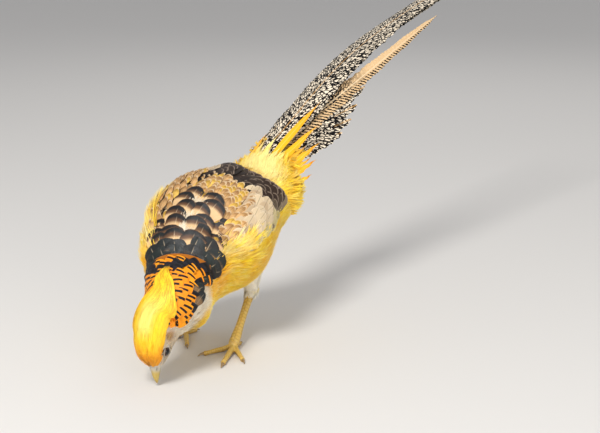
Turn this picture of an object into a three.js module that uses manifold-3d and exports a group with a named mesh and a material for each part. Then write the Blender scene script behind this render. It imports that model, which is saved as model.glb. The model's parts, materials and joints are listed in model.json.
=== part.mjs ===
// Golden pheasant of the yellow form, a cock in its first full colour: a still, life-size model.
// It stands on both feet, leans to its left and reaches down with its bill, tail raised behind.
// Units are millimetres. The bird faces -Y, its left side is +X and +Z is up. The floor is z = 0,
// and the origin lies on it, under the middle of the bird's bounding box.
import * as THREE from 'three';
import { mergeVertices } from 'three/addons/utils/BufferGeometryUtils.js';
import Module from 'manifold-3d';

const wasm = await Module();
wasm.setup();

// Clear gap between neighbouring pieces
const GAP = 0.3;

// Pose of the trunk, head and tail, in degrees: yaw turns the front to the bird's left, dip lowers it,
// and lean tips the top to the bird's left
const TRUNK_CENTRE = [0, 0, 127];
const TRUNK_POSE = { yaw: 0, dip: 26, lean: 22 };
const HEAD_CENTRE = [56, -125.5, 43];
const HEAD_POSE = { yaw: 30, dip: 75.5, lean: -17 };
const TAIL_POSE = { yaw: 0, dip: 35, lean: 22 };

const radians = THREE.MathUtils.degToRad;
const vector = (x, y, z) => new THREE.Vector3(x, y, z);

// A right-handed frame: front, left and top directions about an origin
function poseFrame(origin, { yaw, dip, lean }) {
  const [y, d, n] = [yaw, dip, lean].map(radians);
  const front = vector(Math.sin(y) * Math.cos(d), -Math.cos(y) * Math.cos(d), -Math.sin(d));
  const upright = vector(Math.sin(y) * Math.sin(d), -Math.cos(y) * Math.sin(d), Math.cos(d));
  const side = new THREE.Vector3().crossVectors(upright, front);
  const top = upright.multiplyScalar(Math.cos(n)).addScaledVector(side, Math.sin(n));
  const left = new THREE.Vector3().crossVectors(top, front);
  return { origin: vector(...origin), front, left, top };
}

// The point that lies so far to the front, left and top of a frame's origin
function place(frame, front, left, top) {
  return frame.origin
    .clone()
    .addScaledVector(frame.front, front)
    .addScaledVector(frame.left, left)
    .addScaledVector(frame.top, top);
}

const trunkFrame = poseFrame(TRUNK_CENTRE, TRUNK_POSE);
const headFrame = poseFrame(HEAD_CENTRE, HEAD_POSE);

// The tail leaves the trunk behind the rump. Its frame's front still looks to the bill
const TAIL_ROOT = { front: -102, left: -16, top: 26 };
const tailFrame = poseFrame(
  place(trunkFrame, TAIL_ROOT.front, TAIL_ROOT.left, TAIL_ROOT.top).toArray(), TAIL_POSE);

// Stations of the feathered body from the tail coverts to the bill: where each lies in its frame, and
// how far the plumage stands from that point to the sides, to the back and to the belly
const STATIONS = [
  { name: 'covertEnd', frame: tailFrame, front: -30, left: 6, top: -12, side: 19, back: 10, belly: 18 },
  { name: 'tailRoot', frame: tailFrame, front: 2, left: 8, top: -12, side: 28, back: 17, belly: 28 },
  { name: 'rump', frame: trunkFrame, front: -80, left: 1, top: 4, side: 41, back: 28, belly: 44 },
  { name: 'hips', frame: trunkFrame, front: -52, top: 0, side: 50, back: 40, belly: 60 },
  { name: 'belly', frame: trunkFrame, front: -14, left: 1, top: 0, side: 65, back: 49, belly: 74 },
  { name: 'chest', frame: trunkFrame, front: 22, left: 3, top: 0, side: 65, back: 48, belly: 70 },
  { name: 'shoulders', frame: trunkFrame, front: 48, left: 10, top: 0, side: 53, back: 38, belly: 62 },
  { name: 'neckBase', frame: trunkFrame, front: 73, left: 25, top: 4, side: 37, back: 29, belly: 52 },
  { name: 'neck', frame: headFrame, front: -42, left: 3, top: -22, side: 28, back: 25, belly: 39 },
  { name: 'nape', frame: headFrame, front: -23, top: -6, side: 23, back: 20, belly: 29 },
  { name: 'cheek', frame: headFrame, front: -9, top: -1, side: 19.5, back: 18, belly: 24 },
  { name: 'crown', frame: headFrame, front: 2, top: 0, side: 16.5, back: 16.5, belly: 19 },
  { name: 'face', frame: headFrame, front: 12, top: -1, side: 13, back: 12.5, belly: 13.5 },
  { name: 'billBase', frame: headFrame, front: 21, top: -2, side: 7.5, back: 7.5, belly: 7 },
].map((s) => ({ ...s, centre: place(s.frame, s.front, s.left ?? 0, s.top) }));
const station = (name) => STATIONS.findIndex((s) => s.name === name);

// Catmull-Rom blend of four values, as numbers
function blend(a, b, c, d, t) {
  const rise = 2 * b + (c - a) * t;
  return 0.5 * (rise + (2 * a - 5 * b + 4 * c - d) * t * t + (3 * b - a - 3 * c + d) * t * t * t);
}

// The body's section at a place along the stations, counted in stations from the tail coverts
function sectionAt(at) {
  const last = STATIONS.length - 1;
  const i = Math.min(Math.floor(at), last - 1);
  const t = at - i;
  const four = [i - 1, i, i + 1, i + 2].map((k) => STATIONS[Math.min(Math.max(k, 0), last)]);
  const mix = (pick) => blend(...four.map(pick), t);
  const point = (pick) => vector(mix((s) => pick(s).x), mix((s) => pick(s).y), mix((s) => pick(s).z));
  const slope = (pick) => {
    const [a, b, c, d] = four.map(pick);
    return 0.5 * (c - a + 2 * (2 * a - 5 * b + 4 * c - d) * t + 3 * (3 * b - a - 3 * c + d) * t * t);
  };
  const heading = vector(slope((s) => s.centre.x), slope((s) => s.centre.y), slope((s) => s.centre.z));
  const front = heading.normalize();
  const left = new THREE.Vector3().crossVectors(point((s) => s.frame.top), front).normalize();
  const top = new THREE.Vector3().crossVectors(front, left);
  const [side, back, belly] = ['side', 'back', 'belly'].map((key) => mix((s) => s[key]));
  return { origin: point((s) => s.centre), front, left, top, side, back, belly };
}

// A point on the body, turned from the middle of the back (0 degrees) to the bird's left (90), and raised
function bodyPoint(section, degrees, raised) {
  const sine = Math.sin(radians(degrees));
  const cosine = Math.cos(radians(degrees));
  const height = cosine > 0 ? section.back : section.belly;
  return place(section, 0, (section.side + raised) * sine, (height + raised) * cosine);
}

// The closed solid between rings of points. Each end is a fan round its middle or, on a sheet, whose
// rings run out along an upper row and back along a lower one, a strip between the two rows
function loft(rings, isSheet = false) {
  const around = rings[0].length;
  const end = (rings.length - 1) * around;
  const middles = isSheet ? [] : [rings[0], rings.at(-1)].map((ring) =>
    ring.reduce((sum, p) => sum.add(p), vector(0, 0, 0)).divideScalar(around));
  const points = [...rings.flat(), ...middles];
  const faces = [];
  for (let k = 0; k < around; k++) {
    const next = (k + 1) % around;
    for (let r = 0; r < rings.length - 1; r++) {
      const [a, b] = [r * around, (r + 1) * around];
      faces.push([a + k, a + next, b + next], [a + k, b + next, b + k]);
    }
    if (!isSheet) faces.push([next, k, points.length - 2], [end + k, end + next, points.length - 1]);
  }
  for (let k = 0; isSheet && k < around / 2 - 1; k++) {
    const under = around - 1 - k;
    faces.push([k + 1, k, under], [k + 1, under, under - 1]);
    faces.push([end + k, end + k + 1, end + under], [end + k + 1, end + under - 1, end + under]);
  }
  const sixVolumes = faces.reduce((sum, [a, b, c]) =>
    sum + points[a].dot(new THREE.Vector3().crossVectors(points[b], points[c])), 0);
  if (sixVolumes < 0) faces.forEach((face) => face.reverse());
  return new THREE.BufferGeometry().setFromPoints(points).setIndex(faces.flat());
}

// The closed sheet between an upper and a lower row of points at each of its stations
const sheetOf = (rows) => loft(rows.map(([upper, lower]) => [...upper, ...lower.reverse()]), true);

// Evenly spaced values from one number to another
const spaced = (from, to, count) =>
  Array.from({ length: count }, (_, k) => from + ((to - from) * k) / (count - 1));

// A manifold solid from a closed geometry, and a geometry from a solid
function solidOf(geometry) {
  const bare = new THREE.BufferGeometry()
    .setAttribute('position', geometry.getAttribute('position'))
    .setIndex(geometry.index);
  const merged = mergeVertices(bare, 1e-3);
  const vertProperties = new Float32Array(merged.getAttribute('position').array);
  const triVerts = new Uint32Array(merged.index.array);
  return new wasm.Manifold(new wasm.Mesh({ numProp: 3, vertProperties, triVerts }));
}
function geometryOf(solid) {
  const { numProp, numVert, vertProperties, triVerts } = solid.getMesh();
  const positions = new Float32Array(numVert * 3);
  for (let k = 0; k < numVert; k++) {
    positions.set(vertProperties.subarray(k * numProp, k * numProp + 3), k * 3);
  }
  return new THREE.BufferGeometry()
    .setAttribute('position', new THREE.BufferAttribute(positions, 3))
    .setIndex(new THREE.BufferAttribute(triVerts, 1));
}

// Finishes, by what they show
const finish = (color, roughness) => new THREE.MeshStandardMaterial({ color, roughness, metalness: 0 });
const FINISHES = {
  gold: finish(0xf6c21c, 0.8),
  crest: finish(0xfbb311, 0.55),
  cape: finish(0xee8a1a, 0.6),
  mantle: finish(0x2b221c, 0.55),
  wing: finish(0x9a7b57, 0.7),
  face: finish(0xe9e0cf, 0.8),
  boot: finish(0xf3ead6, 0.85),
  tail: finish(0x8d7a63, 0.6),
  shank: finish(0xd6ab42, 0.5),
  claw: finish(0x8a7458, 0.35),
  bill: finish(0xb9a24a, 0.35),
  eye: finish(0x1a1712, 0.08),
};
const bird = new THREE.Group();
function addNode(name, geometry, finishName) {
  const mesh = new THREE.Mesh(geometry, FINISHES[finishName]);
  mesh.name = name;
  bird.add(mesh);
}

// The body's solid between two places along the stations
const BODY_SECTORS = 18;
const RING_PITCH = 0.36;
function bodyGeometry(from, to, raised = 0) {
  const rings = spaced(from, to, Math.ceil((to - from) / RING_PITCH) + 1).map((at) => {
    const section = sectionAt(at);
    return spaced(0, 360, BODY_SECTORS + 1).slice(0, -1).map((turn) => bodyPoint(section, turn, raised));
  });
  return loft(rings);
}

// How far one station step reaches, in millimetres, so that a cut's gap can be stated as a length
function stepLength(at) {
  const reach = 0.01;
  return sectionAt(at + reach).origin.distanceTo(sectionAt(at - reach).origin) / (2 * reach);
}

// Trunk, rump, neck and head, parted by thin cuts
const CUTS = { rump: 2.05, neck: 6.95, head: 9.35 };
const halfGap = (at) => (0.5 * GAP) / stepLength(at);
const trunkGeometry = bodyGeometry(CUTS.rump + halfGap(CUTS.rump), CUTS.neck - halfGap(CUTS.neck));
addNode('trunk', trunkGeometry, 'gold');
addNode('neck', bodyGeometry(CUTS.neck + halfGap(CUTS.neck), CUTS.head - halfGap(CUTS.head)), 'face');

// Eyes, each a ball in a socket
const EYE = { radius: 5.6, front: 5.5, side: 11.4, top: 0.5 };
const BALL_SEGMENTS = [10, 8];
const eyeBall = (side, radius) => {
  const centre = place(headFrame, EYE.front, side * EYE.side, EYE.top);
  return new THREE.SphereGeometry(radius, ...BALL_SEGMENTS).translate(...centre.toArray());
};
const SIDES = [['left', 1], ['right', -1]];
let head = solidOf(bodyGeometry(CUTS.head + halfGap(CUTS.head), station('billBase')));
for (const [name, side] of SIDES) {
  head = head.subtract(solidOf(eyeBall(side, EYE.radius + GAP)));
  addNode(`eye_${name}`, eyeBall(side, EYE.radius), 'eye');
}

// Bill: two mandibles that meet along the gape, rooted in the face. They keep a share of their width at
// the tip, the taper's powers say how long they stay full, and the hook's how late its bend begins
const BILL = { root: 15, length: 24.5, width: 5.8, gape: -3.4, rings: 8, points: 7 };
const HOOK = { depth: 3.2, late: 2.4 };
const BILL_TAPER = { tip: 0.1, late: 1.9, round: 0.8 };
const MANDIBLES = {
  bill_upper: { side: 1, reach: 1, height: 8.2 },
  bill_lower: { side: -1, reach: 0.88, height: 4.2 },
};
function mandibleGeometry({ side, reach, height }, grown) {
  return loft(spaced(0, 1, BILL.rings).map((share) => {
    const front = BILL.root + (BILL.length + grown) * reach * share - grown;
    const sink = HOOK.depth * (reach * share) ** HOOK.late;
    const taper = (1 - share ** BILL_TAPER.late) ** BILL_TAPER.round;
    const narrow = BILL_TAPER.tip + (1 - BILL_TAPER.tip) * taper;
    return spaced(0, 180, BILL.points).map((turn) => {
      const across = Math.cos(radians(turn)) * (BILL.width * narrow + grown);
      const rise = Math.sin(radians(turn)) * (height * narrow + 2 * grown);
      return place(headFrame, front, across, BILL.gape - sink + side * (0.5 * GAP - grown + rise));
    });
  }));
}
for (const [name, mandible] of Object.entries(MANDIBLES)) {
  head = head.subtract(solidOf(mandibleGeometry(mandible, GAP)));
  addNode(name, mandibleGeometry(mandible, 0), 'bill');
}
addNode('head', geometryOf(head), 'face');

// A value that runs smoothly through given pairs of place and amount
function along(pairs, at) {
  const k = Math.max(0, pairs.findLastIndex(([start]) => at >= start));
  const [from, to] = [pairs[k], pairs[Math.min(k + 1, pairs.length - 1)]];
  const share = from === to ? 0 : Math.min(1, Math.max(0, (at - from[0]) / (to[0] - from[0])));
  return from[1] + (to[1] - from[1]) * share * share * (3 - 2 * share);
}

// A feather tract: a shell that lies on the body between two stations. Its top and low edges, the
// height that it stands over the body, and its thickness are pairs of station and amount. It rests a
// little over the body, so that the facets of the two stay apart, and thins to its edges
const EDGE_THICKNESS = 0.8;
const REST = 0.9;
const SWELL_POWER = 0.6;
function tractGeometry({ from, to, rings, sectors, top, low, stand, thick }) {
  return sheetOf(spaced(from, to, rings).map((at) => {
    const section = sectionAt(at);
    const [start, end] = [along(top, at), along(low, at)];
    const under = REST + along(stand, at);
    const swell = (turn) =>
      Math.max(0, 1 - ((2 * turn - start - end) / (end - start)) ** 2) ** SWELL_POWER;
    const across = spaced(start, end, sectors);
    const coat = across.map((turn) =>
      bodyPoint(section, turn, under + EDGE_THICKNESS + along(thick, at) * swell(turn)));
    return [coat, across.map((turn) => bodyPoint(section, turn, under))];
  }));
}
const negated = (pairs) => pairs.map(([at, amount]) => [at, -amount]);

// Cape: barred ruff from behind the cheeks over the nape and neck
const CAPE_REACH = [[7, 52], [7.3, 66], [8, 72], [8.8, 78], [9.3, 66]];
addNode('cape', tractGeometry({
  from: 7,
  to: 9.3,
  rings: 10,
  sectors: 11,
  top: negated(CAPE_REACH),
  low: CAPE_REACH,
  stand: [[7, 3], [8, 0.5]],
  thick: [[7, 1.5], [7.4, 3], [8.4, 3], [9.3, 0.4]],
}), 'cape');

// Crest: silky feathers from the forehead over the nape, resting on the cape
const CREST_REACH = [[7.75, 5], [8.2, 17], [8.8, 38], [9.6, 54], [10.6, 58], [12, 58], [12.8, 50]];
addNode('crest', tractGeometry({
  from: 7.75,
  to: 12.8,
  rings: 13,
  sectors: 9,
  top: negated(CREST_REACH),
  low: CREST_REACH,
  stand: [[7.75, 6.2], [8.6, 5.4], [9.5, 2.6], [10.4, 0]],
  thick: [[7.75, 0.4], [8.4, 1], [9.4, 2.2], [10.4, 4.2], [12, 3.8], [12.8, 1]],
}), 'crest');

// Mantle: the scaled upper back, a collar behind the cape that narrows between the wings
const MANTLE_REACH = [[3.2, 14], [3.6, 24], [5, 27], [5.7, 34], [6.2, 50], [6.9, 56]];
addNode('mantle', tractGeometry({
  from: 3.2,
  to: 6.9,
  rings: 12,
  sectors: 9,
  top: negated(MANTLE_REACH),
  low: MANTLE_REACH,
  stand: [[3.2, 0]],
  thick: [[3.2, 0.5], [3.8, 3], [5.5, 4], [6.6, 3], [6.9, 1]],
}), 'mantle');

// Wings, folded along the flanks. Their long quills cross the lower back towards each other
const WING_TOP = [[2.1, 34], [2.35, 14], [2.7, 5], [3.1, 9], [3.2, 16], [3.6, 26], [5, 29], [5.75, 38]];
const WING_LOW = [[2.1, 52], [2.5, 72], [3, 74], [4, 66], [5, 66], [5.75, 56]];
for (const [name, side] of SIDES) {
  addNode(`wing_${name}`, tractGeometry({
    from: 2.1,
    to: 5.75,
    rings: 14,
    sectors: 8,
    top: side > 0 ? WING_TOP : negated(WING_LOW),
    low: side > 0 ? WING_LOW : negated(WING_TOP),
    stand: [[2.1, 3], [2.6, 1.5], [3.2, 0]],
    thick: [[2.1, 0.8], [2.6, 2.5], [4, 6], [5.2, 6], [5.75, 2]],
  }), 'wing');
}

// The tail is a roof of long feathers in layers. Each layer is one surface, lowered a little more: it
// slopes down to both sides of the ridge and droops towards the tip
const ROOF = { slope: 0.75, ridge: 13, droopRadius: 950, layer: 1.7 };
function tailPoint(back, left, lowered) {
  const roof = ROOF.slope * (Math.hypot(left, ROOF.ridge) - ROOF.ridge);
  return place(tailFrame, -back, left, -roof - (back * back) / (2 * ROOF.droopRadius) - lowered);
}

// A flat feather on that roof. Fan is its turn from the tail's middle line, in degrees, and bow its bend
// away from that line. A feather that is held to one side keeps its inner edge clear of the line, and
// one that isn't sways to the bird's right with the middle of the tail
const RIDGE_CLEARANCE = 0.4;
const FAN_FROM = 0.35;
const VANE_WIDTHS = [[0, 0.32], [0.21, 1], [0.36, 1], [0.55, 0.66], [0.75, 0.5], [0.9, 0.3], [1, 0.05]];
const SWAY = [[20, 0], [200, -13], [360, -10]];
function featherGeometry({ start, length, width, fan, bow = 0, oneSided, sways, lowered, thick, rings, points }) {
  return sheetOf(spaced(0, 1, rings).map((share) => {
    const back = start + length * share * Math.cos(radians(fan));
    const half = 0.5 * width * along(VANE_WIDTHS, share);
    const turned = Math.abs(start * FAN_FROM + length * share) * Math.sin(radians(Math.abs(fan)));
    const fanned = turned + bow * Math.sin(Math.PI * share);
    const aside = Math.sign(fan) * (oneSided ? Math.max(fanned, half + RIDGE_CLEARANCE) : fanned);
    const middle = aside + (sways ? along(SWAY, back) : 0);
    const across = spaced(middle - half, middle + half, points);
    return [lowered, lowered + thick].map((depth) => across.map((left) => tailPoint(back, left, depth)));
  }));
}

// Tail feathers in pairs from the middle outwards: lengths behind the tail's root, widths and fans. The
// feathers of the first pairs lie over each other, those of the others side by side in one layer. Those
// of the right are a little shorter
const TAIL_START = -14;
const TAIL_THICK = 0.7;
const TAIL_CLEARANCE = 1;
const RIGHT_SHARE = 0.96;
const TAIL_PAIRS = [
  { length: 600, width: 40, fan: 0.4, layers: [0, 1.35], rings: 12 },
  { length: 520, width: 34, fan: 0.9, layers: [2.6, 3.75], rings: 11 },
  { length: 336, width: 21, fan: 2.6, bow: 8, layers: [5, 5], rings: 8 },
  { length: 165, width: 27, fan: 8, layers: [6, 6], rings: 7 },
  { length: 140, width: 27, fan: 12, layers: [7, 7], rings: 6 },
  { length: 122, width: 27, fan: 16, layers: [8, 8], rings: 5 },
  { length: 102, width: 27, fan: 20, layers: [9, 9], rings: 5 },
];
TAIL_PAIRS.forEach(({ length, width, fan, bow, layers, rings }, pair) => {
  SIDES.forEach(([name, side], k) => addNode(`tail_${pair + 1}_${name}`, featherGeometry({
    start: TAIL_START,
    length: (side > 0 ? 1 : RIGHT_SHARE) * length - TAIL_START,
    width,
    fan: side * fan,
    bow,
    oneSided: layers[0] === layers[1],
    sways: layers[0] !== layers[1],
    lowered: layers[k] * ROOF.layer,
    thick: TAIL_THICK,
    rings,
    points: 5,
  }), 'tail'));
});

// Rump with its tail coverts. A slot holds the tail, and long pointed coverts lie over it
const STACK = (TAIL_PAIRS.at(-1).layers[0] + 1) * ROOF.layer;
const SLOT = { end: 90, half: 36, flare: 0.4, rings: 4 };
const slot = sheetOf(spaced(TAIL_START - GAP, SLOT.end, SLOT.rings).map((back) => {
  const half = SLOT.half + SLOT.flare * Math.max(0, back);
  const across = spaced(-half, half, 9);
  return [-TAIL_CLEARANCE, STACK].map((depth) => across.map((left) => tailPoint(back, left, depth)));
}));
let rump = solidOf(bodyGeometry(0, CUTS.rump - halfGap(CUTS.rump))).subtract(solidOf(slot));
const SPEARS = { count: 4, start: -30, length: 112, shorter: 9, width: 10, thick: 1.2, clear: 0.4 };
const SPEAR_FANS = { first: 6, step: 9 };
for (const [, side] of SIDES) {
  for (let k = 0; k < SPEARS.count; k++) {
    rump = rump.add(solidOf(featherGeometry({
      start: SPEARS.start,
      length: SPEARS.length - SPEARS.shorter * k,
      width: SPEARS.width,
      fan: side * (SPEAR_FANS.first + SPEAR_FANS.step * k),
      lowered: -TAIL_CLEARANCE - SPEARS.clear - SPEARS.thick,
      thick: SPEARS.thick,
      rings: 3,
      points: 3,
    })));
  }
}
addNode('rump', geometryOf(rump), 'gold');

// A tapering round limb along a path, with its radius at each share of the way
function limbGeometry(path, radiusAt, rings, sectors) {
  return loft(spaced(0, 1, rings).map((share) => {
    const front = path.getTangentAt(share);
    const left = new THREE.Vector3().crossVectors(vector(0, 0, 1), front).normalize();
    const top = new THREE.Vector3().crossVectors(front, left);
    const section = { origin: path.getPointAt(share), front, left, top };
    return spaced(0, 2 * Math.PI, sectors + 1).slice(0, -1).map((turn) =>
      place(section, 0, radiusAt(share) * Math.sin(turn), radiusAt(share) * Math.cos(turn)));
  }));
}

// Legs: where each boot starts inside the trunk, its hock and foot joint, and the foot's heading
const LEGS = {
  left: { boot: [17, 38, 88], hock: [12, 44, 51], foot: [37, -5, 8], heading: 34 },
  right: { boot: [-28, 34, 90], hock: [-28, 42, 52], foot: [-34, -13, 8], heading: 2 },
};
const THIGH = { top: 17, hock: 7.4, taper: 1.2, rings: 6, sectors: 12 };
const SHANK = { middle: 4.3, ends: 6, flare: 3, rings: 6, sectors: 8 };
const grownTrunk = solidOf(bodyGeometry(CUTS.rump - GAP, CUTS.neck + GAP, GAP));

// Toes: heading from the foot's own, length, thickness at the root, and claw length
const TOES = [
  { name: 'inner', turn: -50, length: 30, radius: 3.5, claw: 9 },
  { name: 'middle', turn: 0, length: 42, radius: 3.8, claw: 10 },
  { name: 'outer', turn: 28, length: 32, radius: 3.4, claw: 9 },
  { name: 'hind', turn: 172, length: 13, radius: 2.9, claw: 7 },
];
// Each toe leaves the pad at its start height, sinks a little into the floor, where it is cut flat, and
// thins towards its claw over slight knuckles
const PAD = { radius: 6.2, flatter: 0.95, segments: [8, 5] };
const TOE = { start: 6, beyond: 4, sink: 0.35, rise: 0.5, thinner: 0.28, rings: 6, sectors: 6 };
const KNUCKLE = { share: 0.07, turns: 6 * Math.PI };
// Claws: thickness at the root as a share of the toe's, radius at the tip, height over the floor, where
// they are highest and how they thin
const CLAW = { root: 0.6, tip: 0.35, lift: 0.3, crest: 0.55, taper: 0.75, rings: 4, sectors: 6 };
const FLOOR_CUT = { side: 400, depth: 100 };
const floorSlab = new THREE.BoxGeometry(FLOOR_CUT.side, FLOOR_CUT.side, FLOOR_CUT.depth);
const floorCut = solidOf(floorSlab.translate(0, 0, -FLOOR_CUT.depth / 2));

for (const [name, side] of SIDES) {
  const { boot, hock, foot, heading } = LEGS[name];
  const [bootAt, hockAt, footAt] = [boot, hock, foot].map((p) => vector(...p));
  const down = footAt.clone().sub(hockAt).normalize();
  const shankEnd = footAt.clone().addScaledVector(down, -PAD.radius - GAP);
  const shankGeometry = (grown) => {
    const start = hockAt.clone().addScaledVector(down, -grown);
    const flared = (share) => (SHANK.ends - SHANK.middle) * Math.abs(2 * share - 1) ** SHANK.flare;
    const radiusAt = (share) => SHANK.middle + flared(share) + grown;
    return limbGeometry(new THREE.LineCurve3(start, shankEnd), radiusAt, SHANK.rings, SHANK.sectors);
  };
  addNode(`shank_${name}`, shankGeometry(0), 'shank');

  const thighRadius = (share) => THIGH.hock + (THIGH.top - THIGH.hock) * (1 - share) ** THIGH.taper;
  const thighPath = new THREE.LineCurve3(bootAt, hockAt);
  const thigh = solidOf(limbGeometry(thighPath, thighRadius, THIGH.rings, THIGH.sectors))
    .subtract(grownTrunk)
    .subtract(solidOf(shankGeometry(GAP)));
  const largest = thigh.decompose().sort((a, b) => b.volume() - a.volume())[0];
  addNode(`thigh_${name}`, geometryOf(largest), 'boot');

  const pad = new THREE.SphereGeometry(PAD.radius, ...PAD.segments).scale(1, 1, PAD.flatter);
  let sole = solidOf(pad.translate(...footAt.toArray()));
  for (const toe of TOES) {
    const turn = radians(heading + side * toe.turn);
    const ahead = vector(Math.sin(turn), -Math.cos(turn), 0);
    const step = (reach, height) => footAt.clone().setZ(height).addScaledVector(ahead, reach);
    const low = toe.radius - TOE.sink;
    const end = toe.length + TOE.beyond;
    const toePath = new THREE.CatmullRomCurve3([
      step(0, TOE.start),
      step(end / 3, low + TOE.rise),
      step((end * 2) / 3, low),
      step(end, low * (1 - TOE.thinner)),
    ]);
    const knuckles = (share) =>
      toe.radius * (1 - TOE.thinner * share) * (1 + KNUCKLE.share * Math.cos(share * KNUCKLE.turns));
    sole = sole.add(solidOf(limbGeometry(toePath, knuckles, TOE.rings, TOE.sectors)));

    const thick = CLAW.root * toe.radius;
    const clawPath = new THREE.CatmullRomCurve3([
      step(end + 2 * GAP, thick + CLAW.lift),
      step(end + toe.claw * CLAW.crest, thick + 2 * CLAW.lift),
      step(end + toe.claw, CLAW.tip + CLAW.lift),
    ]);
    const hook = (share) => (thick - CLAW.tip) * (1 - share) ** CLAW.taper + CLAW.tip;
    addNode(`claw_${toe.name}_${name}`, limbGeometry(clawPath, hook, CLAW.rings, CLAW.sectors), 'claw');
  }
  addNode(`foot_${name}`, geometryOf(sole.subtract(floorCut)), 'shank');
}

// The floor stays z = 0. The bird moves so that its bounding box's middle stands over the origin
const box = new THREE.Box3().setFromObject(bird);
const middle = box.getCenter(vector(0, 0, 0));
bird.position.set(-middle.x, -middle.y, 0);

export default bird;
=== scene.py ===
"""Golden pheasant of the yellow form, life-size and still: skin, plumage, eyes, bill and legs.

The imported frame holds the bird's solids. One skin takes the place of its flesh, and feathers lie over
it as real mesh, tract by tract, from the tufts of the face to the long tail. Lengths are millimetres
in the bird's own frame until a mesh is made, and metres from there on.
"""

import json
import logging
import math
from collections.abc import Callable
from dataclasses import dataclass, replace

import bpy
import numpy as np
from mathutils import Matrix, Vector

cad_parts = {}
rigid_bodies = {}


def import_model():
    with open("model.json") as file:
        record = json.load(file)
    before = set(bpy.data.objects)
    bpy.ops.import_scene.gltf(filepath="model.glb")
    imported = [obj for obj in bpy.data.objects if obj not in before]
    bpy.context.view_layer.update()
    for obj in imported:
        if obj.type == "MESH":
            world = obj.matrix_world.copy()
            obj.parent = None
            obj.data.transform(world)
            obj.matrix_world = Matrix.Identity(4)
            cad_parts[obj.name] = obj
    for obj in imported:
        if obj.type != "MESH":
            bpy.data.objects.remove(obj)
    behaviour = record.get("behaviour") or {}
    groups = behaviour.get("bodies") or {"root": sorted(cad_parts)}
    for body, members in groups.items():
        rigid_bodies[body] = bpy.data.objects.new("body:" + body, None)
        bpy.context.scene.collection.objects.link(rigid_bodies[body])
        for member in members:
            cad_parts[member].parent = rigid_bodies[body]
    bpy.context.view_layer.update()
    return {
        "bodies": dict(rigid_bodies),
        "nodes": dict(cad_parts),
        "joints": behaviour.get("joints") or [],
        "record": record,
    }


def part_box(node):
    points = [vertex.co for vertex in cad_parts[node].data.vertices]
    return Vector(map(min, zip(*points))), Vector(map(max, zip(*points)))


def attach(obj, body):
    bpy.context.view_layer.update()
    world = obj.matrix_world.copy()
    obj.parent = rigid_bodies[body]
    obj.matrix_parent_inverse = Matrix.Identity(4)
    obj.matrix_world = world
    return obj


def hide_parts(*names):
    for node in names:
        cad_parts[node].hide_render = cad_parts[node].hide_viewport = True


LOG = logging.getLogger("pheasant")
Array = np.ndarray
Chance = np.random.Generator
Thing = bpy.types.Object
Material = bpy.types.Material
MM = 0.001
SEED = 71
BODY = "root"
SIDES = {"left": 1, "right": -1}


def smooth(low: float, high: float, value: Array) -> Array:
    """Rises from 0 at low to 1 at high, softly at both ends."""
    share = np.clip((np.asarray(value, float) - low) / (high - low), 0, 1)
    return share * share * (3 - 2 * share)


def band(low: float, high: float, soft: float, value: Array) -> Array:
    """Is 1 between low and high, and falls to 0 over soft on both sides."""
    return smooth(low - soft, low + soft, value) * (1 - smooth(high - soft, high + soft, value))


def unit(vectors: Array) -> Array:
    """The vectors at length 1."""
    return vectors / np.maximum(np.linalg.norm(vectors, axis=-1, keepdims=True), 1e-9)


def along(pairs: tuple, at: Array) -> Array:
    """A value that runs smoothly through given pairs of place and amount.

    Args:
        pairs: The places in rising order, each with its amount.
        at: Where the value is wanted.

    Returns:
        The amount at each place.
    """
    places = np.array([pair[0] for pair in pairs], float)
    amounts = np.array([pair[1] for pair in pairs], float)
    at = np.clip(np.asarray(at, float), places[0], places[-1])
    k = np.clip(np.searchsorted(places, at, side="right") - 1, 0, len(places) - 2)
    share = (at - places[k]) / (places[k + 1] - places[k])
    share = share * share * (3 - 2 * share)
    return amounts[k] + (amounts[k + 1] - amounts[k]) * share


def paint(red: int, green: int, blue: int) -> Array:
    """A colour as light, from its red, green and blue as a screen shows them."""
    value = np.array([red, green, blue], float) / 255
    return np.where(value <= 0.04045, value / 12.92, ((value + 0.055) / 1.055) ** 2.4)


class Dye:
    """The bird's colours."""

    GOLD = paint(255, 204, 8)
    LEMON = paint(255, 224, 44)
    STRAW = paint(255, 238, 160)
    AMBER = paint(252, 164, 4)
    CREAM = paint(244, 236, 220)
    EAR = paint(186, 132, 80)
    ORANGE = paint(252, 146, 10)
    INK = paint(14, 11, 11)
    BROWN = paint(76, 54, 40)
    TAN = paint(210, 160, 96)
    HAZEL = paint(138, 88, 42)
    PALE_TAN = paint(240, 214, 174)
    FADED = paint(220, 196, 158)
    UMBER = paint(26, 18, 15)
    BOOT = paint(250, 242, 224)
    SPEAR = paint(255, 172, 4)


@dataclass(frozen=True)
class Pose:
    """An origin with a front, a left and a top direction.

    Yaw turns the front to the bird's left, dip lowers it, and lean tips the top to the left. All are
    in degrees.
    """

    origin: Array
    yaw: float
    dip: float
    lean: float

    def axes(self) -> Array:
        """The front, left and top directions, as three rows."""
        yaw, dip, lean = (math.radians(angle) for angle in (self.yaw, self.dip, self.lean))
        front = np.array([math.sin(yaw) * math.cos(dip), -math.cos(yaw) * math.cos(dip), -math.sin(dip)])
        upright = np.array([math.sin(yaw) * math.sin(dip), -math.cos(yaw) * math.sin(dip), math.cos(dip)])
        top = upright * math.cos(lean) + np.cross(upright, front) * math.sin(lean)
        return np.array([front, np.cross(top, front), top])

    def place(self, front: Array, left: Array, top: Array) -> Array:
        """The points that lie so far to the front, left and top of the origin."""
        parts = np.stack(np.broadcast_arrays(front, left, top), -1).astype(float)
        return self.origin + parts @ self.axes()


TRUNK = Pose(np.array([0, 0, 127.0]), 0, 26, 22)
HEAD = Pose(np.array([56, -125.5, 43.0]), 30, 75.5, -17)
TAIL = Pose(TRUNK.place(-102, -16, 26), 0, 35, 22)


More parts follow.
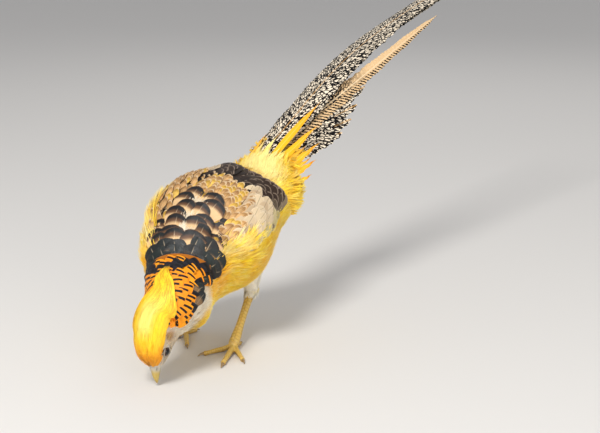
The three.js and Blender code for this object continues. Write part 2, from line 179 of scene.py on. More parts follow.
@dataclass(frozen=True)
class Station:
    """A section of the body: where it lies in its pose, and how far the plumage stands from there."""

    pose: Pose
    front: float
    left: float
    top: float
    side: float
    back: float
    belly: float


STATIONS = (
    Station(TAIL, -30, 6, -12, 19, 10, 18),
    Station(TAIL, 2, 8, -12, 28, 17, 28),
    Station(TRUNK, -80, 1, 4, 41, 28, 44),
    Station(TRUNK, -52, 0, 0, 50, 40, 60),
    Station(TRUNK, -14, 1, 0, 65, 49, 74),
    Station(TRUNK, 22, 3, 0, 65, 48, 70),
    Station(TRUNK, 48, 10, 0, 53, 38, 62),
    Station(TRUNK, 73, 25, 4, 37, 29, 52),
    Station(HEAD, -42, 3, -22, 28, 25, 39),
    Station(HEAD, -23, 0, -6, 23, 20, 29),
    Station(HEAD, -9, 0, -1, 19.5, 18, 24),
    Station(HEAD, 2, 0, 0, 16.5, 16.5, 19),
    Station(HEAD, 12, 0, -1, 13, 12.5, 13.5),
    Station(HEAD, 21, 0, -2, 7.5, 7.5, 7),
)


@dataclass
class Roots:
    """Where feathers are rooted, with the size and heading of each. Headings are in degrees."""

    at: Array
    turn: Array
    length: Array
    width: Array
    heading: Array
    chance: Array


@dataclass
class Walk:
    """The middle lines of feathers over a sheet: points, with directions ahead, across and outwards."""

    points: Array
    ahead: Array
    across: Array
    out: Array
    at: Array
    turn: Array
    sheet: "Surface"


class Surface:
    """A sheet that feathers lie on. A place on it is how far along it lies, and how far round."""

    probe_at = 0.02
    probe_turn = 1.0

    def point(self, at: Array, turn: Array, raised: Array) -> Array:
        """The points at these places, raised over the sheet."""
        raise NotImplementedError

    def unwrap(self, at: Array, turn: Array) -> Array:
        """The places on a flat map of the sheet, from 0 to 1 both ways."""
        raise NotImplementedError

    def basis(self, at: Array, turn: Array, raised: Array) -> tuple:
        """The directions of the sheet at these places.

        Args:
            at: How far along each place lies.
            turn: How far round it lies.
            raised: How far it stands over the sheet.

        Returns:
            Directions rearwards, sidewards and outwards, and the millimetres in one step of at and turn.
        """
        e, f = self.probe_at, self.probe_turn
        rear = (self.point(at - e, turn, raised) - self.point(at + e, turn, raised)) / (2 * e)
        side = (self.point(at, turn + f, raised) - self.point(at, turn - f, raised)) / (2 * f)
        per_at, per_turn = np.linalg.norm(rear, axis=-1), np.linalg.norm(side, axis=-1)
        out = unit(np.cross(side, rear))
        return unit(rear), unit(side), out, per_at, per_turn

    def walk(self, roots: Roots, steps: int, height: Callable, lie: Callable | None = None) -> Walk:
        """Walks rearwards from each root over the sheet, and notes the way.

        Args:
            roots: The feathers' roots.
            steps: How many steps each walk has.
            height: Gives how far a feather stands over the sheet from its place and share of length.
            lie: Gives the coat's own heading at a place, in degrees. None is straight to the rear.

        Returns:
            The feathers' middle lines.
        """
        at, turn, stride, way = roots.at.astype(float), roots.turn.astype(float), roots.length / steps, []
        for k in range(steps + 1):
            raised = height(at, turn, np.full(at.shape, k / steps))
            way.append((self.point(at, turn, raised), at, turn))
            per_at, per_turn = self.basis(at, turn, raised)[3:]
            heading = np.radians(roots.heading + (lie(at, turn) if lie else 0))
            at = at - np.cos(heading) * stride / np.maximum(per_at, 1e-6)
            turn = turn + np.sin(heading) * stride / np.maximum(per_turn, 0.02)
        return self.framed(*(np.stack(part, 1) for part in zip(*way)))

    def framed(self, line: Array, at: Array, turn: Array) -> Walk:
        """Adds the directions to middle lines."""
        step = np.empty_like(line)
        step[:, 1:-1] = line[:, 2:] - line[:, :-2]
        step[:, 0] = line[:, 1] - line[:, 0]
        step[:, -1] = line[:, -1] - line[:, -2]
        ahead = unit(step)
        out = self.basis(at, turn, np.zeros(at.shape))[2]
        across = unit(np.cross(out, ahead))
        return Walk(line, ahead, across, unit(np.cross(ahead, across)), at, turn, self)


class Body(Surface):
    """The outline of the plumage, by station from the tail coverts to the bill and by turn in degrees.

    A turn of 0 is the middle of the back, 90 the bird's left and 180 the belly.
    """

    last = len(STATIONS) - 1

    def __init__(self) -> None:
        """Gathers the stations' values into one table."""
        rows = []
        for s in STATIONS:
            centre = s.pose.place(s.front, s.left, s.top)
            rows.append([*centre, *s.pose.axes()[2], s.side, s.back, s.belly])
        self.table = np.array(rows)

    def section(self, at: Array) -> tuple:
        """The sections at these places.

        Args:
            at: Stations, which may lie between two.

        Returns:
            Their origins, left and top directions, and reaches to side, back and belly.
        """
        inside = np.clip(at, 0, self.last)
        k = np.minimum(inside.astype(int), self.last - 1)
        t = (inside - k)[..., None]
        a, b, c, d = (self.table[np.clip(k + i, 0, self.last)] for i in (-1, 0, 1, 2))
        square, cube = 2 * a - 5 * b + 4 * c - d, 3 * b - a - 3 * c + d
        value = 0.5 * (2 * b + (c - a) * t + square * t**2 + cube * t**3)
        slope = 0.5 * (c - a + 2 * square * t + 3 * cube * t**2)
        front = unit(slope[..., :3])
        left = unit(np.cross(value[..., 3:6], front))
        beyond = (at - inside)[..., None] * slope[..., :3]
        return value[..., :3] + beyond, left, np.cross(front, left), value[..., 6:]

    def point(self, at: Array, turn: Array, raised: Array) -> Array:
        """The points on the plumage's outline, raised by so much."""
        at, turn, raised = np.broadcast_arrays(np.asarray(at, float), turn, raised)
        origin, left, top, reach = self.section(at)
        sine, cosine = np.sin(np.radians(turn)), np.cos(np.radians(turn))
        height = np.where(cosine > 0, reach[..., 1], reach[..., 2])
        aside = ((reach[..., 0] + raised) * sine)[..., None] * left
        return origin + aside + ((height + raised) * cosine)[..., None] * top

    def unwrap(self, at: Array, turn: Array) -> Array:
        """Turn runs across the map and station up it."""
        return np.stack([(turn / 360 + 0.5) % 1, np.clip(at / self.last, 0, 1)], -1) * 0.98 + 0.01


BIRD = Body()


@dataclass(frozen=True)
class Shell:
    """A feather tract that lies on the body between two stations, as a shell with its own thickness."""

    start: float
    end: float
    top: tuple
    low: tuple
    stand: tuple
    thick: tuple
    rest: float = 0.9
    edge: float = 0.8

    def outer(self, at: Array, turn: Array) -> Array:
        """How far the shell's outside stands over the body at these places."""
        first, second = along(self.top, at), along(self.low, at)
        swell = np.maximum(0, 1 - ((2 * turn - first - second) / (second - first)) ** 2) ** 0.6
        return self.rest + along(self.stand, at) + self.edge + along(self.thick, at) * swell

    def cover(self, at: Array, turn: Array) -> Array:
        """How far the shell's outside stands over the body, falling to 0 beyond its edges."""
        first, second = along(self.top, at), along(self.low, at)
        inside = smooth(first - 4, first + 3, turn) * (1 - smooth(second - 3, second + 4, turn))
        inside = inside * smooth(self.start - 0.1, self.start + 0.1, at)
        inside = inside * (1 - smooth(self.end - 0.15, self.end + 0.12, at))
        return inside * self.outer(np.clip(at, self.start, self.end), np.clip(turn, first, second))

    def mirrored(self) -> "Shell":
        """The same shell on the other side of the body."""
        return replace(self, top=both_ways(self.low), low=both_ways(self.top))


def both_ways(reach: tuple) -> tuple:
    """The reach to the right of the middle line, from the reach to its left."""
    return tuple((at, -turn) for at, turn in reach)


def reach_of(low: tuple, high: tuple) -> Callable:
    """Gives the lowest and highest turn at a place, from their tables."""
    return lambda at: (float(along(low, at)), float(along(high, at)))


def below(edge: tuple) -> Callable:
    """Gives the reach round the belly at a place, from the table of its upper edge on the left."""
    return lambda at: (float(along(edge, at)), 360 - float(along(edge, at)))


CAPE_REACH = ((7, 52), (7.3, 66), (8, 72), (8.8, 78), (9.3, 66))
CREST_REACH = ((7.75, 5), (8.2, 17), (8.8, 38), (9.6, 54), (10.6, 58), (12, 58), (12.8, 50))
MANTLE_REACH = ((3.2, 14), (3.6, 24), (5, 27), (5.7, 34), (6.2, 50), (6.9, 56))
CAPE_SHELL = Shell(7, 9.3, both_ways(CAPE_REACH), CAPE_REACH, ((7, 3), (8, 0.5)),
                   ((7, 1.5), (7.4, 3), (8.4, 3), (9.3, 0.4)))
CREST_SHELL = Shell(7.75, 12.8, both_ways(CREST_REACH), CREST_REACH,
                    ((7.75, 6.2), (8.6, 5.4), (9.5, 2.6), (10.4, 0)),
                    ((7.75, 0.4), (8.4, 1), (9.4, 2.2), (10.4, 4.2), (12, 3.8), (12.8, 1)))
MANTLE_SHELL = Shell(3.2, 6.9, both_ways(MANTLE_REACH), MANTLE_REACH, ((3.2, 0), (6.9, 0)),
                     ((3.2, 0.5), (3.8, 3), (5.5, 4), (6.6, 3), (6.9, 1)))
WING_SHELL = Shell(2.1, 5.75,
                   ((2.1, 34), (2.35, 14), (2.7, 5), (3.1, 9), (3.2, 16), (3.6, 26), (5, 29), (5.75, 38)),
                   ((2.1, 52), (2.5, 72), (3, 74), (4, 66), (5, 66), (5.75, 56)),
                   ((2.1, 3), (2.6, 1.5), (3.2, 0)),
                   ((2.1, 0.8), (2.6, 2.5), (4, 6), (5.2, 6), (5.75, 2)))
WING_SHELLS = {"left": WING_SHELL, "right": WING_SHELL.mirrored()}
EYE_FRONT, EYE_SIDE, EYE_TOP, EYE_RADIUS = 5.5, 11.4, 0.5, 5.6


@dataclass(frozen=True)
class Roof(Surface):
    """The tail's surface: it slopes down to both sides of the ridge and droops towards the tip.

    At is the millimetres behind the tail's root, counted negative, and turn those to the left.
    """

    slope: float = 0.75
    ridge: float = 13
    droop: float = 950

    def point(self, at: Array, turn: Array, raised: Array) -> Array:
        """The points of the roof at these places, raised by so much."""
        fall = self.slope * (np.hypot(turn, self.ridge) - self.ridge)
        return TAIL.place(at, turn, raised - fall - np.square(at) / (2 * self.droop))


ROOF = Roof()


@dataclass(frozen=True)
class Boot(Surface):
    """The feathered thigh: at is the share of the way from the hock up to the body."""

    hock: Array
    body: Array
    thin: float = 7.4
    thick: float = 17
    column: float = 0
    probe_at: float = 0.01

    def point(self, at: Array, turn: Array, raised: Array) -> Array:
        """The points round the thigh at these places, raised by so much."""
        at, turn, raised = np.broadcast_arrays(np.asarray(at, float), turn, raised)
        axis = unit(self.body - self.hock)
        left = unit(np.cross(np.array([0, 1.0, 0]), axis))
        radius = self.thin + (self.thick - self.thin) * np.clip(at, 0, 1.4) ** 1.2 + raised
        sine, cosine = np.sin(np.radians(turn))[..., None], np.cos(np.radians(turn))[..., None]
        ring = sine * left + cosine * np.cross(axis, left)
        return self.hock + at[..., None] * (self.body - self.hock) + radius[..., None] * ring

    def unwrap(self, at: Array, turn: Array) -> Array:
        """Each thigh has its own half of the map."""
        across = (turn / 360 % 1 + self.column) * 0.48 + 0.01
        return np.stack([across, np.clip(at / 1.5, 0, 1) * 0.9 + 0.05], -1)


@dataclass(frozen=True)
class Leg:
    """Where a leg's boot, hock and foot joint are, and the foot's heading in degrees."""

    boot: Array
    hock: Array
    foot: Array
    heading: float


LEGS = {
    "left": Leg(*np.array([(17, 38, 88), (12, 44, 51), (37, -5, 8.0)]), 34),
    "right": Leg(*np.array([(-28, 34, 90), (-28, 42, 52), (-34, -13, 8.0)]), 2),
}


def flat_list(values: Array) -> Array:
    """The values in one row of small floats, as Blender takes them."""
    return values.astype(np.float32).ravel()


def read_points(mesh: bpy.types.Mesh, what: str = "co") -> Array:
    """A mesh's points in metres, or with normal its point normals."""
    found = np.empty(len(mesh.vertices) * 3, np.float32)
    mesh.vertices.foreach_get(what, found)
    return found.reshape(-1, 3).astype(float)


def stain(mesh: bpy.types.Mesh, colours: Array) -> None:
    """Stores a colour at each point of a mesh."""
    full = np.concatenate([np.clip(colours, 0, 1), np.ones((len(colours), 1))], 1)
    mesh.attributes.new("Dye", "FLOAT_COLOR", "POINT").data.foreach_set("color", flat_list(full))


def dress(thing: Thing, material: Material) -> None:
    """Gives a piece one material and smooth shading."""
    thing.data.materials.clear()
    thing.data.materials.append(material)
    thing.data.polygons.foreach_set("use_smooth", np.full(len(thing.data.polygons), True))


class Fleece:
    """Gathers many feathers into one mesh."""

    maps = {"share": "Share", "span": "Span", "bake": "OFBake"}

    def __init__(self, name: str) -> None:
        """Starts an empty mesh of this name."""
        self.name = name
        self.count = 0
        self.parts: dict[str, list] = {key: [] for key in ("point", "quad", "tri", "dye", *self.maps)}

    def add(self, point: Array, quad: Array, tri: tuple = (), **layers: Array) -> None:
        """Adds feathers of one build.

        Args:
            point: The vertices, feather by feather.
            quad: One feather's four-sided faces.
            tri: One feather's triangles.
            layers: The vertices' share, span and bake places, and their dye.
        """
        feathers, corners = len(point), point[0].size // 3
        shift = self.count + corners * np.arange(feathers)[:, None, None]
        for key, faces, size in (("quad", quad, 4), ("tri", tri, 3)):
            self.parts[key].append((np.asarray(faces, int).reshape(1, -1, size) + shift).reshape(-1, size))
        for key, values in {"point": point, **layers}.items():
            self.parts[key].append(values.reshape(-1, values.shape[-1]))
        self.count += feathers * corners

    def build(self, material: Material, origin: Array) -> Thing:
        """Makes the mesh object, in metres, in the frame's own place.

        Args:
            material: What it is dressed in.
            origin: Where the bird's own origin lies in the frame, in millimetres.

        Returns:
            The object.
        """
        parts = {key: np.concatenate(values) for key, values in self.parts.items() if values}
        mesh = bpy.data.meshes.new(self.name)
        corners = np.concatenate([parts["quad"].ravel(), parts["tri"].ravel()])
        sizes = np.repeat([4, 3], [len(parts["quad"]), len(parts["tri"])])
        mesh.vertices.add(self.count)
        mesh.vertices.foreach_set("co", flat_list((parts["point"] + origin) * MM))
        mesh.loops.add(len(corners))
        mesh.loops.foreach_set("vertex_index", corners.astype(np.int32))
        mesh.polygons.add(len(sizes))
        mesh.polygons.foreach_set("loop_start", (np.cumsum(sizes) - sizes).astype(np.int32))
        mesh.update(calc_edges=True)
        for key, label in self.maps.items():
            if key in parts:
                mesh.uv_layers.new(name=label).data.foreach_set("uv", flat_list(parts[key][corners]))
        if "dye" in parts:
            stain(mesh, parts["dye"])
        thing = bpy.data.objects.new(self.name, mesh)
        bpy.context.scene.collection.objects.link(thing)
        dress(thing, material)
        LOG.info("%s: %d triangles", self.name, len(parts["tri"]) + 2 * len(parts["quad"]))
        return thing


BAKE_PATCH = 0.003
RINGS_OF_BALL = {32: 16, 48: 32}


def grid_faces(rows: int, columns: int) -> Array:
    """The four-sided faces between rows of points, each with so many columns of faces."""
    i, j = np.meshgrid(np.arange(rows), np.arange(columns), indexing="ij")
    first = (i * (columns + 1) + j).ravel()
    return np.stack([first, first + 1, first + columns + 2, first + columns + 1], 1)


def fade(first: Array, last: Array, walk: Walk) -> Array:
    """Colours along each feather of a walk, from the root's to the tip's."""
    share = np.linspace(0, 1, walk.at.shape[1]) ** 1.3
    return first[:, None] + (last - first)[:, None] * share[None, :, None]


@dataclass(frozen=True)
class Lock:
    """A soft feather of separate blades that fan out from its root and end in points."""

    blades: int
    steps: int
    blade: float
    spread: float = 1.0
    shorter: float = 0.3
    ruffle: float = 0.6

    def grow(self, fleece: Fleece, roots: Roots, walk: Walk, dye: Callable, rng: Chance) -> None:
        """Adds one lock for each walk.

        Args:
            fleece: The mesh that it joins.
            roots: The feathers' roots.
            walk: Their middle lines.
            dye: Gives the colours along each feather, from its root and walk.
            rng: The chances.
        """
        n, k = len(roots.at), self.steps
        aside = np.linspace(-1, 1, self.blades)[None, :] + rng.normal(0, 0.12, (n, self.blades))
        reach = 1 - self.shorter * np.abs(aside) ** 1.5 - rng.uniform(0, 0.22, (n, self.blades))
        share = np.linspace(0, 1, k + 1)
        opened = 0.3 + 0.7 * share**0.8
        lateral = aside[:, :, None] * opened * (0.5 * self.spread * roots.width)[:, None, None]
        lifted = rng.uniform(-1, 1, (n, self.blades, 1)) * self.ruffle * share
        bend = rng.normal(0, 0.25, (n, self.blades, 1)) * share**2 * roots.width[:, None, None] * 0.3
        way = reach[:, :, None] * share
        across = self.along(walk.across, way)
        middle = self.along(walk.points, way) + (lateral + bend)[..., None] * across
        middle = middle + lifted[..., None] * self.along(walk.out, way)
        half = 0.5 * self.blade * (1 - 0.55 * share**2) * np.minimum(1, 0.55 + 2 * share)
        offset = half[None, None, :, None] * across
        base = (2 * k + 1) * np.arange(self.blades)[:, None, None]
        quads = np.array([[i, k + i, k + i + 1, i + 1] for i in range(k - 1)]) + base
        tips = np.array([[k - 1, 2 * k - 1, 2 * k]]) + base
        v = np.broadcast_to(np.concatenate([share[:-1], share[:-1], [1.0]]), (n, self.blades, 2 * k + 1))
        u = np.broadcast_to((aside * 0.4 + 0.5)[:, :, None], v.shape)
        flat = np.stack([u, v], -1).reshape(n, -1, 2)
        spot = walk.sheet.unwrap(roots.at, roots.turn)[:, None, :] + (flat - 0.5) * BAKE_PATCH
        colour = self.along(dye(roots, walk, rng), way) * rng.uniform(0.9, 1.06, (n, self.blades, 1, 1))
        tint = np.clip(self.strips(colour, colour, colour), 0, 1)
        blades = self.strips(middle - offset, middle + offset, middle)
        fleece.add(blades, quads, tips, share=flat, bake=spot, dye=tint)

    @staticmethod
    def strips(left: Array, right: Array, middle: Array) -> Array:
        """Puts both edges of each blade and its tip in one row for each feather."""
        joined = np.concatenate([left[:, :, :-1], right[:, :, :-1], middle[:, :, -1:]], 2)
        return joined.reshape(len(joined), -1, 3)

    @staticmethod
    def along(values: Array, way: Array) -> Array:
        """The values of each walk at shares of its length.

        Args:
            values: The walk's values, step by step.
            way: The shares.

        Returns:
            The values, blended between the steps.
        """
        steps = values.shape[1] - 1
        place = np.clip(way, 0, 1) * steps
        k = np.minimum(place.astype(int), steps - 1)
        t = (place - k)[..., None]
        row = np.arange(len(values)).reshape(-1, *([1] * (way.ndim - 1)))
        return values[row, k] * (1 - t) + values[row, k + 1] * t


@dataclass(frozen=True)
class Vane:
    """A whole feather: a curved blade that narrows from full to its tip, with a bowed and ragged end."""

    steps: int
    columns: int
    root: float
    full: float
    tip: float
    bow: float
    cup: float
    ragged: float

    def profile(self, share: Array) -> Array:
        """The half width at each share of the length, as a share of the largest."""
        grown = self.root + (1 - self.root) * smooth(0, self.full, share)
        late = np.clip((share - self.full) / (1 - self.full), 0, 1)
        return grown * (1 - (1 - self.tip) * late**2)

    def grow(self, fleece: Fleece, roots: Roots, walk: Walk, dye: Callable, rng: Chance) -> None:
        """Adds one vane for each walk, each with a cell of its own on the map.

        Args:
            fleece: The mesh that it joins.
            roots: The feathers' roots.
            walk: Their middle lines.
            dye: Gives the colours along each feather, from its root and walk.
            rng: The chances.
        """
        n, wide = len(roots.at), 2 * self.columns + 1
        share, long = np.linspace(0, 1, self.steps + 1), roots.length[:, None, None]
        half = 0.5 * roots.width[:, None] * self.profile(share)
        v, u = np.meshgrid(share, np.linspace(-1, 1, wide), indexing="ij")
        lateral = half[:, :, None] * u
        back = -self.bow * (u**2) * v**1.5 * long
        edge = (np.abs(u) > 0.99) | (v > 0.99)
        back = back + edge * (v > 0.2) * rng.uniform(-1, 0.3, back.shape) * self.ragged * (long / self.steps)
        drop = -self.cup * (u**2) * half[:, :, None]
        grid = walk.points[:, :, None] + lateral[..., None] * walk.across[:, :, None]
        grid = grid + back[..., None] * walk.ahead[:, :, None] + drop[..., None] * walk.out[:, :, None]
        flat = np.broadcast_to(np.stack([0.5 + 0.5 * u, v], -1), (n, *u.shape, 2))
        span = np.stack(np.broadcast_arrays(lateral * 0.01, v * long * 0.01), -1)
        span = span + (roots.chance * 7)[:, None, None, None] * np.array([0, 1])
        side, cell = math.ceil(math.sqrt(n)), np.arange(n)
        corner = np.stack([cell % side, cell // side], -1)[:, None, None, :]
        colour = np.broadcast_to(dye(roots, walk, rng)[:, :, None, :], grid.shape)
        fleece.add(grid, grid_faces(self.steps, wide - 1), share=flat, span=span,
                   bake=(corner + 0.05 + 0.9 * flat) / side, dye=np.clip(colour, 0, 1))


def blend(first: Array, second: Array, share: Array) -> Array:
    """Colours between two, by share."""
    share = np.asarray(share, float)[..., None]
    return first + (second - first) * share


class Markings:
    """Where each colour of the small feathers lies on the body."""

    @staticmethod
    def ground(at: Array, turn: Array) -> Array:
        """The body's own colour at these places.

        Args:
            at: Stations.
            turn: Degrees from the middle of the back.

        Returns:
            One colour for each place.
        """
        aside = np.abs((turn + 180) % 360 - 180)
        waves = np.sin(at * 5.1 + aside * 0.09) * np.cos(at * 2.3 - aside * 0.16)
        clumps = np.sin(at * 17 + aside * 0.31) * np.sin(at * 7.7 - aside * 0.43)
        colour = blend(Dye.GOLD, Dye.LEMON, np.clip(0.5 + 0.45 * waves + 0.35 * clumps, 0, 1))
        colour = blend(colour, Dye.AMBER, 0.65 * smooth(6.1, 7.0, at) * (1 - smooth(95, 125, aside)))
        colour = blend(colour, Dye.AMBER, 0.25 * band(3.0, 5.0, 0.6, at) * band(84, 118, 12, aside))
        streak = band(4.5, 6.35, 0.3, at) * band(46, 60, 7, aside) * (0.55 + 0.45 * clumps)
        colour = blend(colour, Dye.STRAW * np.array([1, 1.03, 1.35]), 0.9 * np.clip(streak, 0, 1))
        colour = blend(colour, Dye.STRAW, 0.5 * smooth(118, 165, aside) * (1 - smooth(4.4, 6.6, at)))
        rump = 1 - smooth(2.5, 3.0, at)
        pale = 0.85 * (1 - smooth(26, 62, np.abs(turn + 6))) * (0.7 + 0.3 * smooth(0.2, 1.3, at))
        colour = blend(colour, blend(blend(Dye.GOLD, Dye.LEMON, 0.6), Dye.STRAW, pale), rump)
        throat = smooth(7.35, 7.75, at) * (1 - smooth(118, 142, aside) * (1 - smooth(8.1, 8.6, at)))
        colour = blend(colour, Dye.CREAM, throat)
        blush = smooth(9.2, 9.7, at) * (0.5 + 0.5 * clumps) * 0.18
        colour = blend(colour, Dye.TAN, blush)
        ear = np.exp(-(((at - 10.0) / 0.34) ** 2) - ((aside - 79) / 14) ** 2)
        return blend(colour, Dye.EAR, np.clip(1.3 * ear, 0, 0.95))


class Num:
    """A number in a material, which takes the usual signs."""

    def __init__(self, finish: "Finish", socket: bpy.types.NodeSocket) -> None:
        """Wraps a socket of a finish."""
        self.finish = finish
        self.socket = socket

    def __add__(self, other: "Num | float") -> "Num":
        """The sum."""
        return self.finish.math("ADD", self, other)

    def __sub__(self, other: "Num | float") -> "Num":
        """The difference."""
        return self.finish.math("SUBTRACT", self, other)

    def __rsub__(self, other: float) -> "Num":
        """The difference from a plain number."""
        return self.finish.math("SUBTRACT", other, self)

    def __mul__(self, other: "Num | float") -> "Num":
        """The product."""
        return self.finish.math("MULTIPLY", self, other)

    def __abs__(self) -> "Num":
        """The size without the sign."""
        return self.finish.math("ABSOLUTE", self)

    __radd__ = __add__
    __rmul__ = __mul__


@dataclass(frozen=True)
class Gloss:
    """What is the same all over a finish."""

    roughness: float
    sheen: float
    coat: float
    specular: float
    through: float = 0.0


class Finish:
    """One material, built node by node."""

    def __init__(self, name: str, gloss: Gloss) -> None:
        """Starts the material with what is the same all over it."""
        self.material = bpy.data.materials.new(name)
        self.material.use_nodes = True
        self.tree = self.material.node_tree
        self.shader = self.tree.nodes["Principled BSDF"]
        for socket, value in (("Roughness", gloss.roughness), ("Sheen Weight", gloss.sheen),
                              ("Coat Weight", gloss.coat), ("Coat Roughness", 0.05),
                              ("Specular IOR Level", gloss.specular), ("Subsurface Weight", gloss.through),
                              ("Subsurface Radius", (0.004, 0.002, 0.001))):
            self.shader.inputs[socket].default_value = value

    def node(self, kind: str, settings: dict | None = None, **sockets: object) -> bpy.types.Node:
        """Adds a node.

        Args:
            kind: The node's type.
            settings: Its own settings, set first.
            sockets: Values or links, by socket name with _ for a space, or by number after an n.

        Returns:
            The node.
        """
        made = self.tree.nodes.new(kind)
        for key, value in (settings or {}).items():
            setattr(made, key, value)
        for key, value in sockets.items():
            number = key[1:].isdigit() and key[0] == "n"
            self.feed(made.inputs[int(key[1:]) if number else key.replace("_", " ")], value)
        return made

    def number(self, kind: str, settings: dict | None = None, **sockets: object) -> Num:
        """The first result of a new node, as a number."""
        return Num(self, self.node(kind, settings, **sockets).outputs[0])

    def feed(self, socket: bpy.types.NodeSocket, value: object) -> None:
        """Links a socket to a value of this finish, or sets it."""
        if isinstance(value, Num):
            value = value.socket
        if isinstance(value, bpy.types.NodeSocket):
            self.tree.links.new(value, socket)
        elif isinstance(value, np.ndarray) and socket.type == "RGBA":
            socket.default_value = (*value, 1.0)
        else:
            socket.default_value = value

    def math(self, operation: str, first: object, second: object = 0.0) -> Num:
        """The result of one Math node."""
        return self.number("ShaderNodeMath", {"operation": operation}, n0=first, n1=second)

    def between(self, value: Num, low: float, high: float) -> Num:
        """Rises from 0 at low to 1 at high, softly."""
        return self.number("ShaderNodeMapRange", {"interpolation_type": "SMOOTHSTEP"}, Value=value,
                           From_Min=low, From_Max=high)

    def line(self, aside: Num, inner: float, outer: float) -> Num:
        """Is 1 in the middle, up to inner, and falls to 0 at outer."""
        return 1 - self.between(aside, inner, outer)

    def mix(self, share: object, first: object, second: object) -> bpy.types.NodeSocket:
        """A colour between two."""
        return self.node("ShaderNodeMix", {"data_type": "RGBA"}, n0=share, n6=first, n7=second).outputs[2]

    def map(self, name: str) -> tuple:
        """The two numbers of a UV map."""
        source = self.node("ShaderNodeUVMap", {"uv_map": name})
        parts = self.node("ShaderNodeSeparateXYZ", Vector=source.outputs[0])
        return Num(self, parts.outputs[0]), Num(self, parts.outputs[1])

    def dye(self) -> bpy.types.NodeSocket:
        """The colour that the mesh itself holds."""
        return self.node("ShaderNodeAttribute", {"attribute_name": "Dye"}).outputs["Color"]

    def noise(self, x: Num, y: Num, scale: float, detail: float = 2.0) -> Num:
        """Soft noise on a flat map, about 0 to 1."""
        return self.number("ShaderNodeTexNoise", Vector=self.vector(x, y), Scale=scale, Detail=detail)

    def grain(self, scale: float, detail: float = 3.0) -> Num:
        """Soft noise in the object's own coordinates, about 0 to 1."""
        place = self.node("ShaderNodeTexCoord").outputs["Object"]
        return self.number("ShaderNodeTexNoise", Vector=place, Scale=scale, Detail=detail)

    def vector(self, x: object, y: object) -> bpy.types.NodeSocket:
        """Two numbers as one vector."""
        return self.node("ShaderNodeCombineXYZ", X=x, Y=y).outputs[0]

    def dressed(self, colour: object, height: Num | None = None, strength: float = 0.3,
                distance: float = 0.0004, roughness: Num | None = None) -> Material:
        """Sets what varies over the surface, and ends the material.

        Args:
            colour: The base colour.
            height: What raises the surface.
            strength: How strongly it does.
            distance: How far, in metres.
            roughness: The roughness, if it varies.

        Returns:
            The material.
        """
        self.feed(self.shader.inputs["Base Color"], colour)
        if roughness:
            self.feed(self.shader.inputs["Roughness"], roughness)
        if height:
            made = self.node("ShaderNodeBump", Strength=strength, Distance=distance, Height=height)
            self.feed(self.shader.inputs["Normal"], made.outputs[0])
        return self.material


def barbs(finish: Finish, count: float, slant: float) -> Num:
    """Fine lines along a vane's barbs, from 0 to 1.

    Args:
        finish: The material.
        count: Lines along the feather.
        slant: How far the lines run towards the tip at the edge.

    Returns:
        The lines.
    """
    u, v = finish.map("Share")
    wave = v - abs(u - 0.5) * slant + finish.noise(u * 4, v * 9, 3.0) * 0.05
    return finish.math("SINE", wave * (count * 2 * math.pi)) * 0.5 + 0.5


@dataclass(frozen=True)
class Rim:
    """A feather's rim: where it starts along the length, how strong it shows, and its colour."""

    start: float
    strength: float
    colour: Array


